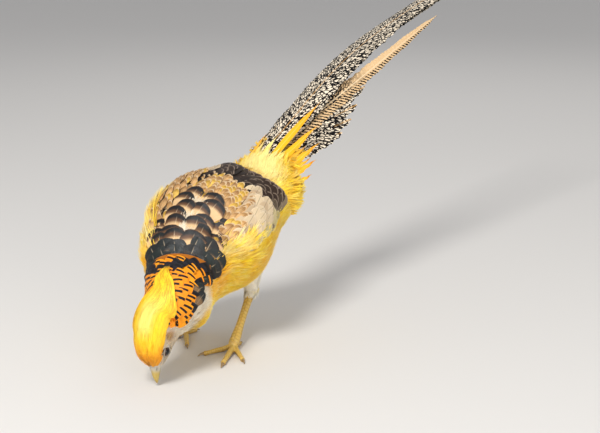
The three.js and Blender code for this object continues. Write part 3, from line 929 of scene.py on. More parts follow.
class Wardrobe:
    """All of the bird's finishes."""

    def __init__(self) -> None:
        """Makes each finish once."""
        self.skin = self.make_skin()
        self.down = self.make_down("down", Gloss(0.7, 0.08, 0, 0.25))
        self.silk = self.make_down("silk", Gloss(0.5, 0, 0, 0.25))
        self.cape = self.make_cape()
        self.scales = self.make_scales()
        self.collar = self.make_collar()
        self.covert = self.make_coverts("covert", Rim(0.88, 0.55, Dye.PALE_TAN), 0.85, 0.8)
        self.soft_covert = self.make_coverts("soft_covert", Rim(0.93, 0.12, Dye.CREAM), 0.7, 0.12)
        self.quill = self.make_coverts("quill", Rim(0.96, 0.6, paint(150, 130, 112)), 0.85, 0.2)
        self.tail = self.make_tail()
        self.barred = self.make_barred()
        self.spear = self.make_spear()
        self.horn = self.make_horn()
        self.claw = self.make_plain("claw", Gloss(0.38, 0, 0.1, 0.5), 1200.0, paint(96, 72, 44),
                                    paint(178, 146, 96), 0.2, 0.0002)
        self.scute = self.make_scute()
        self.eye = self.make_eye()
        self.lid = self.make_plain("lid", Gloss(0.5, 0, 0, 0.4, 0.1), 1500.0, paint(120, 106, 90),
                                   paint(190, 176, 152), 0.5, 0.0003)

    @staticmethod
    def make_plain(name: str, gloss: Gloss, scale: float, dark: Array, pale: Array, strength: float,
                   distance: float) -> Material:
        """Claws and lids: two colours in a fine grain.

        Args:
            name: The finish's name.
            gloss: What is the same all over it.
            scale: How fine the grain is.
            dark: The one colour.
            pale: The other.
            strength: How strongly the grain stands out.
            distance: How far, in metres.

        Returns:
            The material.
        """
        finish = Finish(name, gloss)
        grain = finish.grain(scale)
        return finish.dressed(finish.mix(grain, dark, pale), grain, strength, distance)

    @staticmethod
    def make_skin() -> Material:
        """Skin and down under the coat, in the coat's own colours darkened as painted shade, with a brown
        grain.
        """
        finish = Finish("skin", Gloss(0.8, 0.1, 0, 0.2))
        grain = finish.grain(900.0, 2.0)
        return finish.dressed(finish.mix(grain * 0.35, finish.dye(), Dye.BROWN), grain, 0.4, 0.0004)

    @staticmethod
    def make_down(name: str, gloss: Gloss) -> Material:
        """Soft feathers: the mesh's dye, with painted shade that darkens each blade towards its root."""
        finish = Finish(name, gloss)
        _, v = finish.map("Share")
        # painted shade towards each blade's root, where the feathers overlap
        shade = finish.between(v, 0.0, 0.55)
        tinted = finish.mix(shade, finish.mix(0.25, finish.dye(), Dye.HAZEL), finish.dye())
        return finish.dressed(finish.mix(finish.grain(260.0) * 0.08, tinted, Dye.STRAW))

    @staticmethod
    def make_cape() -> Material:
        """Orange feathers with a broad black bar before a fine orange tip and rim."""
        finish = Finish("cape", Gloss(0.5, 0, 0, 0.3))
        u, v = finish.map("Share")
        lines = barbs(finish, 26, 0.35)
        stray = (finish.noise(u * 5, v * 2, 4.0) * 0.09 - 0.045) * 0.5
        place = v + stray
        bar = finish.between(place, 0.69, 0.705) * finish.line(place, 0.865, 0.88)
        bar = bar * finish.line(abs(u - 0.5) + stray, 0.44, 0.47)
        ground = finish.mix(lines * 0.15, finish.dye(), Dye.BROWN)
        return finish.dressed(finish.mix(bar, ground, Dye.INK), lines, 0.25, 0.0003)

    @staticmethod
    def make_scales() -> Material:
        """Mantle feathers: tan at the root, brown over the middle and black at the round edge."""
        finish = Finish("mantle", Gloss(0.42, 0, 0, 0.4))
        u, v = finish.map("Share")
        aside = abs(u - 0.5) * 2
        streak = finish.noise(u * 22, v * 1.5, 3.0, 3.0)
        edge = v + aside * aside * 0.07 + streak * 0.14 - 0.07
        ground = finish.mix(streak * 0.7, Dye.TAN, Dye.PALE_TAN)
        brown = finish.mix(streak, Dye.BROWN, Dye.HAZEL * 0.6)
        colour = finish.mix(finish.between(edge, 0.56, 0.72), ground, brown)
        colour = finish.mix(finish.between(edge, 0.72, 0.86), colour, finish.dye())
        shaft = finish.line(aside, 0.012, 0.05) * finish.line(v, 0.7, 0.9)
        colour = finish.mix(shaft * 0.3, colour, Dye.PALE_TAN)
        rim = finish.between(v + aside * aside * 0.02, 0.965, 0.985) * 0.35
        return finish.dressed(finish.mix(rim, colour, Dye.HAZEL), barbs(finish, 30, 0.45), 0.3)

    @staticmethod
    def make_collar() -> Material:
        """Collar feathers: blue-black with a dusky brown base and a fine pale shaft."""
        finish = Finish("collar", Gloss(0.36, 0, 0, 0.5))
        u, v = finish.map("Share")
        streak = finish.noise(u * 16, v * 2, 3.0, 3.0)
        dusk = finish.line(v + streak * 0.3, 0.6, 0.86)
        colour = finish.mix(dusk * 0.85, finish.dye(), finish.mix(streak, Dye.BROWN, Dye.TAN * 0.7))
        shaft = finish.line(abs(u - 0.5) * 2, 0.01, 0.05) * finish.line(v, 0.75, 0.95)
        colour = finish.mix(shaft * 0.35, colour, Dye.PALE_TAN)
        return finish.dressed(colour, barbs(finish, 26, 0.45), 0.4)

    @staticmethod
    def make_coverts(name: str, rim: Rim, wide: float, dusk: float) -> Material:
        """Wing feathers: the mesh's dye, darker before a pale rim.

        Args:
            name: The finish's name.
            rim: The pale rim.
            wide: How far out the darker middle reaches, as a share of the half width.
            dusk: How dark that middle is.

        Returns:
            The material.
        """
        finish = Finish(name, Gloss(0.55, 0, 0, 0.22))
        u, v = finish.map("Share")
        x, y = finish.map("Span")
        aside = abs(u - 0.5) * 2
        streak = finish.noise(x * 60, y * 9, 3.0, 3.0)
        middle = finish.between(v, 0.45, 0.8) * finish.line(aside + streak * 0.2, wide, wide + 0.25)
        place = v + aside * aside * 0.05 + streak * 0.04
        rimmed = finish.between(place, rim.start, rim.start + 0.04) * rim.strength
        colour = finish.mix(streak * dusk * 0.35, finish.dye(), rim.colour)
        colour = finish.mix(middle * dusk, colour, finish.mix(0.6, finish.dye(), Dye.HAZEL * 0.45))
        colour = finish.mix(rimmed, colour, rim.colour)
        colour = finish.mix(finish.line(aside, 0.02, 0.06) * 0.5, colour, Dye.UMBER)
        return finish.dressed(colour, barbs(finish, 24, 0.5), 0.3)

    @staticmethod
    def make_tail() -> Material:
        """Tail feathers: cream vanes under a fine black net, with a tan shaft."""
        finish = Finish("tail", Gloss(0.6, 0, 0, 0.15))
        x, y = finish.map("Span")
        net, stray = Wardrobe.netted(finish, x, y)
        colour = finish.mix(net, finish.mix(stray, Dye.PALE_TAN, Dye.CREAM), Dye.INK)
        colour = finish.mix(finish.line(abs(x), 0.005, 0.009) * 0.55, colour, Dye.TAN)
        return finish.dressed(colour, barbs(finish, 220, 0.04), 0.25)

    @staticmethod
    def netted(finish: Finish, x: Num, y: Num) -> tuple:
        """The dark net of the tail: slanting cells, between lines of about the cells' width.

        Args:
            finish: The material.
            x: The distance from the shaft, in tenths of a metre.
            y: The distance along it.

        Returns:
            Where the net is dark, and the noise that bends it.
        """
        stray = finish.noise(x * 10, y * 10, 5.0)
        with_barbs = (y * 0.88 + abs(x) * 0.47) * 16 + stray * 0.8
        cross = (y * 0.47 - abs(x) * 0.88) * 46 + stray * 0.8
        cell = finish.number("ShaderNodeTexVoronoi", {"feature": "DISTANCE_TO_EDGE"},
                             Vector=finish.vector(with_barbs, cross), Scale=1.0)
        return finish.line(cell, 0.13, 0.165), stray

    @staticmethod
    def make_barred() -> Material:
        """Outer tail feathers: black bars on the outer vane, a plain tan inner vane and a pale shaft."""
        finish = Finish("barred_tail", Gloss(0.6, 0, 0, 0.15))
        u, v = finish.map("Share")
        x, y = finish.map("Span")
        net, stray = Wardrobe.netted(finish, x, y)
        outer = finish.between(u + stray * 0.1, 0.66, 0.72)
        wave = finish.math("SINE", (y - abs(x) * 0.9 + stray * 0.05) * 128)
        bars = finish.between(wave, -0.1, 0.2) * outer
        speckled = net * (1 - outer) * finish.line(v, 0.4, 0.6)
        cream = finish.mix(stray, Dye.TAN, Dye.PALE_TAN)
        colour = finish.mix(finish.math("MAXIMUM", bars, speckled), cream, Dye.INK)
        colour = finish.mix(finish.line(abs(u - 0.5), 0.02, 0.045) * 0.8, colour, Dye.PALE_TAN)
        return finish.dressed(colour, barbs(finish, 120, 0.1), 0.25)

    @staticmethod
    def make_spear() -> Material:
        """Long tail coverts: orange-gold, paler along the shaft."""
        finish = Finish("spear", Gloss(0.45, 0.15, 0, 0.4))
        u, _ = finish.map("Share")
        lines = barbs(finish, 60, 0.25)
        colour = finish.mix(lines * 0.25, finish.dye(), Dye.ORANGE)
        colour = finish.mix(finish.line(abs(u - 0.5), 0.01, 0.05) * 0.3, colour, Dye.STRAW)
        return finish.dressed(colour, lines, 0.3)

    @staticmethod
    def make_horn() -> Material:
        """The bill: greyish white at its base, yellow horn to the tip, by the mesh's dye."""
        finish = Finish("bill", Gloss(0.34, 0, 0.15, 0.5, 0.1))
        grain = finish.grain(700.0)
        colour = finish.mix(grain * 0.35, finish.dye(), paint(150, 122, 60))
        return finish.dressed(colour, grain, 0.25, 0.0003, grain * 0.2 + 0.26)

    @staticmethod
    def make_scute() -> Material:
        """Shank and toes: yellow scales by the mesh's dye, with a fine grain."""
        finish = Finish("scute", Gloss(0.48, 0, 0.08, 0.45, 0.08))
        grain = finish.grain(1100.0)
        colour = finish.mix(finish.grain(160.0, 2.0) * 0.5, finish.dye(), paint(222, 190, 104))
        colour = finish.mix(grain * 0.3, colour, paint(150, 112, 52))
        return finish.dressed(colour, grain, 0.35, 0.0004, grain * 0.25 + 0.36)

    @staticmethod
    def make_eye() -> Material:
        """The eye: a black pupil in a dark brown iris, under a wet coat."""
        finish = Finish("eye", Gloss(0.1, 0, 0.3, 0.35))
        return finish.dressed(finish.dye())


class Bird:
    """Holds what all of the bird's builders share."""

    def __init__(self) -> None:
        """Finds the bird's own origin in the frame, from the left eye's box."""
        low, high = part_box("eye_left")
        self.origin = np.array((low + high) / 2) / MM - HEAD.place(EYE_FRONT, EYE_SIDE, EYE_TOP)
        self.wardrobe = Wardrobe()
        self.rng = np.random.default_rng(SEED)

    def rows(self, span: tuple, reach: Callable, pitch: float, spacing: float, jitter: float = 0.45,
             sheet: Surface = BIRD) -> tuple:
        """Roots in staggered rows over part of a surface.

        Args:
            span: The first and last place along it, the larger first.
            reach: Gives the lowest and highest turn of the row at a place.
            pitch: Millimetres between rows.
            spacing: Millimetres between roots in a row.
            jitter: How far roots stray, as a share of pitch and spacing.
            sheet: What the feathers lie on.

        Returns:
            The places along and round of all roots.
        """
        at, found, odd = span[0], [], 0
        while at > span[1]:
            low, high = reach(at)
            turns = np.linspace(low, high, 24)
            line = sheet.point(np.full(24, at), turns, 0)
            length = np.concatenate([[0], np.cumsum(np.linalg.norm(np.diff(line, axis=0), axis=1))])
            count = max(1, int(length[-1] / spacing))
            where = (np.arange(count) + 0.25 + 0.5 * odd) / count * length[-1]
            where = where + self.rng.uniform(-jitter, jitter, count) * spacing
            turn = np.interp(where, length, turns)
            per_at = sheet.basis(np.full(count, at), turn, 0)[3]
            found.append(np.stack([at + self.rng.uniform(-jitter, jitter, count) * pitch / per_at, turn]))
            at -= pitch / sheet.basis(np.array([at]), np.array([(low + high) / 2]), 0)[3][0]
            odd = 1 - odd
        return tuple(np.concatenate(found, 1))

    def both_rows(self, span: tuple, reaches: dict, pitch: float, spacing: float) -> tuple:
        """Rows of roots on both sides of the body, from the reach on each side."""
        found = []
        for side, sign in SIDES.items():
            at, turn = self.rows(span, reaches[side], pitch, spacing, 0.5)
            found.append(np.stack([at, sign * turn]))
        return tuple(np.concatenate(found, 1))

    def sized(self, at: Array, turn: Array, length: Array, width: Array, spread: float, astray: float,
              heading: Array = 0.0) -> Roots:
        """Gives roots their sizes and headings.

        Args:
            at: The roots' places along.
            turn: Their places round.
            length: The feathers' length.
            width: Their width.
            spread: How far the sizes vary, as a share of them.
            astray: How far the headings stray, in degrees.
            heading: The headings.

        Returns:
            The roots.
        """
        vary = self.rng.normal(1, spread, at.shape)
        return Roots(at, turn, length * vary, width * self.rng.normal(1, spread, at.shape),
                     heading + self.rng.normal(0, astray, at.shape), self.rng.uniform(0, 1, at.shape))

    def tract(self, name: str, slot: str, finish: Material, roots: Roots, plume: Lock | Vane,
              height: Callable, dye: Callable, lie: Callable | None = None, sheet: Surface = BIRD) -> None:
        """Builds one tract of feathers as one piece.

        Args:
            name: The piece's name.
            slot: The record's material slot.
            finish: What it is dressed in.
            roots: The feathers' roots.
            plume: Their build.
            height: Gives how far a feather stands over the sheet from its place and share of length.
            dye: Gives the colours along each feather.
            lie: The coat's own heading.
            sheet: What the feathers lie on.
        """
        walk = sheet.walk(roots, plume.steps, height, lie)
        fleece = Fleece(name)
        plume.grow(fleece, roots, walk, dye, self.rng)
        self.settle(fleece, slot, finish)

    def settle(self, piece: Fleece | Thing, slot: str, finish: Material, *nodes: str) -> None:
        """Dresses a piece, lets it ride on the body and lets it stand for its nodes.

        Args:
            piece: The piece, or the mesh to make it of.
            slot: The record's material slot; not used.
            finish: What it is dressed in.
            nodes: The nodes that it replaces.
        """
        if isinstance(piece, Fleece):
            thing = piece.build(finish, self.origin)
        else:
            thing = piece
            dress(thing, finish)
        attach(thing, BODY)
        if nodes:
            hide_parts(*nodes)


def lathe_faces(rings: int, around: int, start: int = 0) -> tuple:
    """The faces between rings of points, with a fan over each end.

    Args:
        rings: How many rings there are.
        around: How many points a ring has.
        start: The first point's number.

    Returns:
        The quads and the triangles. The two fans' middles follow the rings.
    """
    r, k = np.meshgrid(np.arange(rings - 1), np.arange(around), indexing="ij")
    a, b = r * around + k, r * around + (k + 1) % around
    quad = np.stack([a, b, b + around, a + around], -1).reshape(-1, 4) + start
    k = np.arange(around)
    last, top = (rings - 1) * around, rings * around
    first_fan = np.stack([(k + 1) % around, k, np.full(around, top)], 1)
    last_fan = np.stack([last + k, last + (k + 1) % around, np.full(around, top + 1)], 1)
    return quad, np.concatenate([first_fan, last_fan]) + start


def closed(rings: Array) -> Array:
    """The points of rings, followed by the middles of the first and the last."""
    return np.concatenate([rings.reshape(-1, 3), rings[0].mean(0)[None], rings[-1].mean(0)[None]])


@dataclass
class Skin:
    """One skin under the whole coat, from the rump to the bill, with the thighs."""

    bird: Bird
    rings: int = 170
    around: int = 112
    depths: tuple = ((0, 3.0), (2, 4.0), (4, 5.0), (6, 4.5), (8, 2.6), (9.5, 1.6), (11, 1.1), (13, 0.4))

    def build(self) -> None:
        """Builds the skin and lets it replace the nodes of flesh."""
        at = np.linspace(0, BIRD.last, self.rings)[:, None]
        turn = np.linspace(0, 360, self.around + 1)[None, :-1]
        at, turn = np.broadcast_arrays(at, (turn + 180) % 360 - 180)
        tail_root = (1 - smooth(0.9, 1.5, at)) * (1 - smooth(60, 100, np.abs(turn)))
        depth = along(self.depths, at) + 7 * tail_root
        points = BIRD.point(at, turn, -depth)
        fleece = Fleece("skin")
        quad, tri = lathe_faces(self.rings, self.around)
        # painted shade: the skin takes the coat's colours at three quarters, for the shade under the feathers
        colour = Markings.ground(at.ravel(), turn.ravel()) * 0.75
        colour = np.concatenate([colour, colour[:1], colour[-1:]])
        fleece.add(closed(points)[None], quad, tri, dye=colour[None])
        for leg in LEGS.values():
            self.add_thigh(fleece, Boot(leg.hock, leg.boot))
        self.bird.settle(fleece, "plumage_gold", self.bird.wardrobe.skin,
                         "trunk", "rump", "neck", "head", "thigh_left", "thigh_right")

    def add_thigh(self, fleece: Fleece, boot: Boot) -> None:
        """Adds a thigh that runs up into the trunk."""
        rings, around = 24, 32
        at = np.linspace(-0.02, 1.35, rings)[:, None]
        points = closed(boot.point(at, np.linspace(0, 360, around + 1)[None, :-1], -2.0))[None]
        quad, tri = lathe_faces(rings, around)
        # painted shade: the thighs take the boots' white darkened, for the shade under their feathers
        fleece.add(points, quad[:, ::-1], tri[:, ::-1], dye=np.broadcast_to(Dye.BOOT * 0.8, points.shape))


@dataclass
class Pad:
    """The dense down under a tract, which lifts its feathers off the body."""

    bird: Bird
    shell: Shell
    sink: float
    centre: tuple = ((0, 0), (13, 0))
    stations: int = 60
    around: int = 44

    def build(self, name: str, slot: str, colour: Array, *nodes: str) -> None:
        """Builds the pad and lets it replace nodes.

        Args:
            name: The pad's name.
            slot: The record's material slot.
            colour: Its colour, a darker copy of its tract's as painted shade under the feathers.
            nodes: The nodes that it replaces.
        """
        rings = []
        for place in np.linspace(self.shell.start, self.shell.end, self.stations):
            at = np.full(self.around, place)
            first, second = along(self.shell.top, at)[0], along(self.shell.low, at)[0]
            own = np.linspace(first, second, self.around)
            turn = own + along(self.centre, at)
            over = BIRD.point(at, turn, np.maximum(self.shell.outer(at, own) - self.sink, -1.2))
            under = BIRD.point(at, turn, -2.5)
            rings.append(np.concatenate([over, under[::-1]]))
        quad, tri = lathe_faces(self.stations, 2 * self.around)
        points = closed(np.array(rings))[None]
        fleece = Fleece(name)
        fleece.add(points, quad, tri, dye=np.broadcast_to(colour, points.shape))
        self.bird.settle(fleece, slot, self.bird.wardrobe.skin, *nodes)


@dataclass(frozen=True)
class Rise:
    """How far a soft feather's root and tip stand over the surface, and the shells that it lies over."""

    root: float
    tip: float
    over: tuple = ()

    def __call__(self, at: Array, turn: Array, share: Array) -> Array:
        """The height at these places and shares of the feather's length."""
        own = self.root + (self.tip - self.root) * share**0.7
        return own + sum(shell.cover(at, turn) for shell in self.over)


@dataclass
class SoftCoat:
    """The soft feathers of breast, belly, flanks, rump, neck, face and thighs."""

    bird: Bird
    flank_edge: tuple = ((2.2, 52), (3, 74), (3.6, 69), (4.1, 62), (4.6, 56), (5.1, 51), (5.6, 45), (6.1, 41),
                         (6.6, 41), (7.2, 54), (7.7, 84))
    cheek_edge: tuple = ((7.4, 70), (8, 84), (9, 66), (9.6, 50), (12.9, 44))
    flank_length: tuple = ((2, 23), (5, 23), (6.5, 19), (7.7, 13))
    rump_length: tuple = ((0, 30), (0.6, 24), (1.2, 19), (2, 21), (3, 20))
    rump_width: tuple = ((0, 9), (1.2, 7.8), (2, 8.8))
    face_length: tuple = ((9.6, 6.5), (10.5, 4.6), (11.5, 3.2), (13, 2.2))
    bare_round_eye: float = 5.6

    def tract(self, name: str, roots: Roots, lock: Lock, rise: Rise, dye: Callable | None = None,
              lie: Callable | None = None, slot: str = "plumage_gold", sheet: Surface = BIRD) -> None:
        """Builds one tract of locks as Bird.tract does, in the body's markings if no dye is given."""
        self.bird.tract(name, slot, self.bird.wardrobe.down, roots, lock, rise, dye or self.dyed, lie, sheet)

    @staticmethod
    def dyed(roots: Roots, walk: Walk, rng: Chance) -> Array:
        """The body's markings, each feather a little lighter or darker, with painted shade that darkens its
        root, and a pale tip.
        """
        ground = Markings.ground(walk.at, walk.turn)
        tone = rng.normal(1, 0.07, (len(roots.at), 1, 1))
        share = np.linspace(0, 1, walk.at.shape[1])[None, :]
        pale = rng.uniform(0, 1, (len(roots.at), 1)) ** 2 * 0.8 * share
        # painted shade: each feather's root is darker and browner, for the shade between overlapping feathers
        deep = ground * np.array([0.9, 0.74, 0.5])
        shaded = deep + (ground - deep) * smooth(0.1, 0.7, share)[..., None]
        return blend(shaded * tone, Dye.STRAW, pale * (ground[..., 2] < 0.35))

    def build(self) -> None:
        """Builds all of the soft tracts."""
        wings = tuple(WING_SHELLS.values())
        for name, span in (("belly", (5.2, 2.1)), ("breast", (7.75, 5.0))):
            at, turn = self.bird.rows(span, below(self.flank_edge), 4.6, 4.6)
            length = along(self.flank_length, at)
            roots = self.bird.sized(at, (turn + 180) % 360 - 180, length, length * 0.48, 0.12, 9)
            self.tract(name, roots, Lock(11, 4, 0.95, ruffle=1.2), Rise(-3.6, 1.3, wings))
        self.build_fringes(wings)
        self.build_rump()
        self.build_saddle()
        self.build_face()
        self.build_boots()

    def build_fringes(self, wings: tuple) -> None:
        """Builds the loose flank feathers that stand out along the wings' front and lower edges."""
        reaches = {"left": lambda at: (56 - 3 * (at - 4.7), 80),
                   "right": lambda at: (44 - 3 * (at - 4.7), 80)}
        at, turn = self.bird.both_rows((6.9, 4.7), reaches, 4.6, 4.4)
        length, heading = np.where(turn < 0, 24.0, 20.0), np.where(turn < 0, -6.0, -4.0)
        roots = self.bird.sized(at, turn, length, 6.5, 0.25, 14, heading)
        self.tract("fringe", roots, Lock(6, 4, 0.95, ruffle=2.5, shorter=0.15), Rise(-0.6, 4.2, wings))

        def white(roots: Roots, walk: Walk, rng: Chance) -> Array:
            """Lemon at the root, straw to white at the tip."""
            tip = blend(Dye.STRAW, Dye.CREAM * 1.04, rng.uniform(0, 1, len(roots.at)))
            return fade(Dye.LEMON * np.ones((len(roots.at), 1)), tip, walk)

        at, turn = self.bird.rows((6.4, 4.6), lambda at: (50 - 5 * (at - 4.6), 66 - 4 * (at - 4.6)),
                                  7.0, 6.5, 0.5)
        self.tract("streaks", self.bird.sized(at, turn, 25.0, 4.5, 0.2, 14, -12.0),
                   Lock(4, 4, 0.9, ruffle=0.9), Rise(-0.4, 2.6, wings), white)

    def build_rump(self) -> None:
        """Builds the hair-like rump feathers, which stand out at the tail's lower sides."""
        def lie(at: Array, turn: Array) -> Array:
            """Down and outwards at the sides."""
            return np.sign(turn) * 48 * smooth(24, 70, np.abs(turn)) * (1 - smooth(2.0, 3.0, at))

        at, turn = self.bird.rows((3.3, 0.06), lambda at: (-180, 180), 3.3, 3.4)
        keep = ((at < 2.35) | (np.abs(turn) > 75)) & ((at > 1.25) | (np.abs(turn) > 78))
        at, turn = at[keep], turn[keep]
        roots = self.bird.sized(at, turn, along(self.rump_length, at), along(self.rump_width, at), 0.15, 10)
        self.tract("rump", roots, Lock(8, 4, 0.75, ruffle=1.2), Rise(-2.6, 1.6), lie=lie)
        roots = self.bird.sized(*self.bird.rows((1.6, 1.1), lambda at: (-58, 58), 4.0, 5.0, 0.5),
                                27.0, 5.5, 0.2, 8)
        self.tract("tufts", roots, Lock(5, 4, 1.1, ruffle=0.8, shorter=0.5), Rise(-1.6, -0.6))
        reaches = dict.fromkeys(SIDES, lambda at: (62, 128))
        roots = self.bird.sized(*self.bird.both_rows((2.2, 0.2), reaches, 4.0, 3.6), 23.0, 6.0, 0.2, 12)
        self.tract("rump_fringe", roots, Lock(6, 5, 0.9, ruffle=3.4, shorter=0.1), Rise(-1.0, 9.0), lie=lie)

    def build_saddle(self) -> None:
        """Builds the pale loose feathers between the mantle's two columns, with a gold spot behind them."""
        def dye(roots: Roots, walk: Walk, rng: Chance) -> Array:
            """Pale tan, and gold in the spot, the pale tan darker at the root as painted shade."""
            tone = rng.normal(1, 0.07, (len(roots.at), 1))
            pale = blend(Dye.PALE_TAN, Dye.CREAM, rng.uniform(0, 1, len(roots.at)) * 0.7)
            spot = 1 - smooth(4.75, 4.9, roots.at)
            # painted shade: the pale tan is darker at each feather's root
            return fade(blend(pale * 0.8, Dye.AMBER, spot) * tone, blend(pale, Dye.GOLD, spot) * tone, walk)

        roots = self.bird.sized(*self.bird.rows((6.7, 4.6), lambda at: (-14, 6), 4.0, 3.6),
                                17.0, 7.5, 0.15, 10)
        self.tract("saddle", roots, Lock(10, 4, 0.8, ruffle=0.7), Rise(-2.6, -0.7, (MANTLE_SHELL,)), dye,
                   slot="mantle")

    def build_face(self) -> None:
        """Builds the short feathers of the throat, cheeks and face."""
        at, turn = self.bird.rows((12.95, 9.6), below(self.cheek_edge), 1.25, 1.3)
        away = BIRD.point(at, turn, 0) - HEAD.place(EYE_FRONT, 0, EYE_TOP)
        left = HEAD.axes()[1]
        radial = np.linalg.norm(away - (away @ left)[:, None] * left, axis=1)
        keep = (radial > self.bare_round_eye) | (np.abs(away @ left) < 6)
        at, turn = at[keep], turn[keep]
        length = along(self.face_length, at)
        self.tract("face", self.bird.sized(at, turn, length, length * 0.55, 0.15, 12),
                   Lock(5, 2, 0.42, ruffle=0.45), Rise(-0.9, 0.45), slot="face")
        at, turn = self.bird.rows((9.9, 7.35), below(self.cheek_edge), 2.3, 2.4)
        length = along(((7.3, 13), (9.9, 7)), at)
        self.tract("throat", self.bird.sized(at, turn, length, length * 0.5, 0.15, 12),
                   Lock(8, 3, 0.6, ruffle=0.8), Rise(-2.2, 0.7), slot="face")

    def build_boots(self) -> None:
        """Builds the short feathers of the thighs down to the hocks."""
        def dye(roots: Roots, walk: Walk, rng: Chance) -> Array:
            """White, and yellow where the thigh meets the body, darker at the root as painted shade."""
            tone = rng.normal(1, 0.04, (len(roots.at), 1))
            yellow = blend(Dye.BOOT, Dye.LEMON, 0.75 * smooth(0.8, 1.25, roots.at))
            # painted shade: each feather is darker at its root
            return fade(yellow * tone * 0.88, yellow * tone, walk)

        lock = Lock(7, 3, 0.6, ruffle=1.0)
        for column, (side, leg) in enumerate(LEGS.items()):
            boot = Boot(leg.hock, leg.boot, column=column)
            cuff = Boot(leg.hock + 0.2 * (leg.foot - leg.hock), leg.hock, thin=4.6, thick=7.6, column=column)
            at, turn = self.bird.rows((1.35, 0.0), lambda at: (-180, 180), 2.4, 2.4, sheet=boot)
            roots = self.bird.sized(at, turn, along(((0, 9), (1, 13)), at), 5.0, 0.2, 12)
            self.tract(f"boot_{side}", roots, lock, Rise(-1.8, 0.9), dye, slot="boot", sheet=boot)
            roots = self.bird.sized(*self.bird.rows((1.3, 0.3), lambda at: (-180, 180), 1.8, 2.0, sheet=cuff),
                                    7.5, 4.0, 0.2, 10)
            self.tract(f"cuff_{side}", roots, lock, Rise(-0.8, 0.5), dye, slot="boot", sheet=cuff)


@dataclass
class Crest:
    """The silky crest from the forehead over the nape, which narrows to a point on the neck."""

    bird: Bird
    centre: tuple = ((7.6, 13), (8.3, 9), (9.6, 0))
    span: tuple = (13.05, 8.1)
    pitch: float = 1.1
    spacing: float = 1.35
    width: float = 2.4
    end: float = 7.68
    strand: Lock = Lock(3, 8, 0.8, 1.2, 0.1, 0.35)

    @staticmethod
    def dye(roots: Roots, walk: Walk, rng: Chance) -> Array:
        """Lemon over the crown with a painted highlight, deeper orange-yellow at the forehead and on the
        bird's right, and a few darker strands, more at the rear, as painted shade of the gaps between
        strands.
        """
        at, turn = walk.at, walk.turn
        deep = smooth(10.2, 11.9, at) * 0.95 + 0.5 * smooth(14, 46, -turn)
        deep = np.clip(deep + 0.35 * smooth(40, 56, np.abs(turn)), 0, 1)
        # painted highlight: a pale patch over the middle of the crown
        painted_highlight = band(8.7, 10.2, 0.45, at) * band(-14, 20, 9, turn) * 0.75
        ground = blend(blend(Dye.LEMON, Dye.GOLD, 0.6), Dye.AMBER, deep)
        ground = blend(ground, paint(255, 238, 130), painted_highlight)
        # painted shade: a few darker orange strands, more towards the rear, stand in for the shaded gaps
        # between strands
        chance = rng.uniform(0, 1, (len(at), 1))
        rear = 1 - smooth(8.3, 9.2, at)
        dark = (chance > 0.93 - 0.22 * rear) * (0.25 + 0.5 * rear)
        ground = blend(ground, paint(206, 116, 10), dark)
        return ground * rng.uniform(0.86, 1.06, (len(at), 1, 1))

    def build(self) -> None:
        """Builds the crest and lets it replace its node."""
        rng = self.bird.rng
        # painted shade: the crest's pad is amber a little darkened, under the strands
        Pad(self.bird, CREST_SHELL, 2.2, self.centre).build("crest_pad", "crest", Dye.AMBER * 0.9)

        def reach(at: float) -> tuple:
            """As wide as the crest, about its own middle."""
            wide, middle = float(along(CREST_REACH, at)), float(along(self.centre, at))
            return middle - wide, middle + wide

        at, turn = self.bird.rows(self.span, reach, self.pitch, self.spacing, 0.5)
        n = len(at)
        share = np.clip((turn - along(self.centre, at)) / along(CREST_REACH, at), -1, 1)
        ends = np.maximum(at - rng.uniform(0.9, 2.1, n), self.end + 0.6 * rng.uniform(0, 1, n) ** 2)
        step = np.linspace(0, 1, self.strand.steps + 1)
        place = at[:, None] + (np.minimum(ends, at - 0.25) - at)[:, None] * step
        wave = rng.normal(0, 0.07, (n, 1)) * np.sin(step * 3.1) + rng.normal(0, 0.03, (n, 1))
        limit = 1 + 0.1 * (1 - smooth(9.4, 10, place))
        middle = along(self.centre, place)
        around = middle + np.clip(share[:, None] + wave, -limit, limit) * along(CREST_REACH, place)
        outer = CREST_SHELL.outer(place, around - middle)
        sunk = 1.5 * rng.uniform(0, 1, (n, 1)) ** 1.5
        raised = outer * (0.2 + 0.8 * smooth(0, 0.3, step)) - sunk + 0.5 * step
        line = BIRD.point(place, around, raised)
        length = np.linalg.norm(np.diff(line, axis=1), axis=2).sum(1)
        roots = Roots(at, turn, length, np.full(n, self.width), np.zeros(n), rng.uniform(0, 1, n))
        fleece = Fleece("crest")
        self.strand.grow(fleece, roots, BIRD.framed(line, place, around), self.dye, rng)
        self.bird.settle(fleece, "crest", self.bird.wardrobe.silk, "crest")


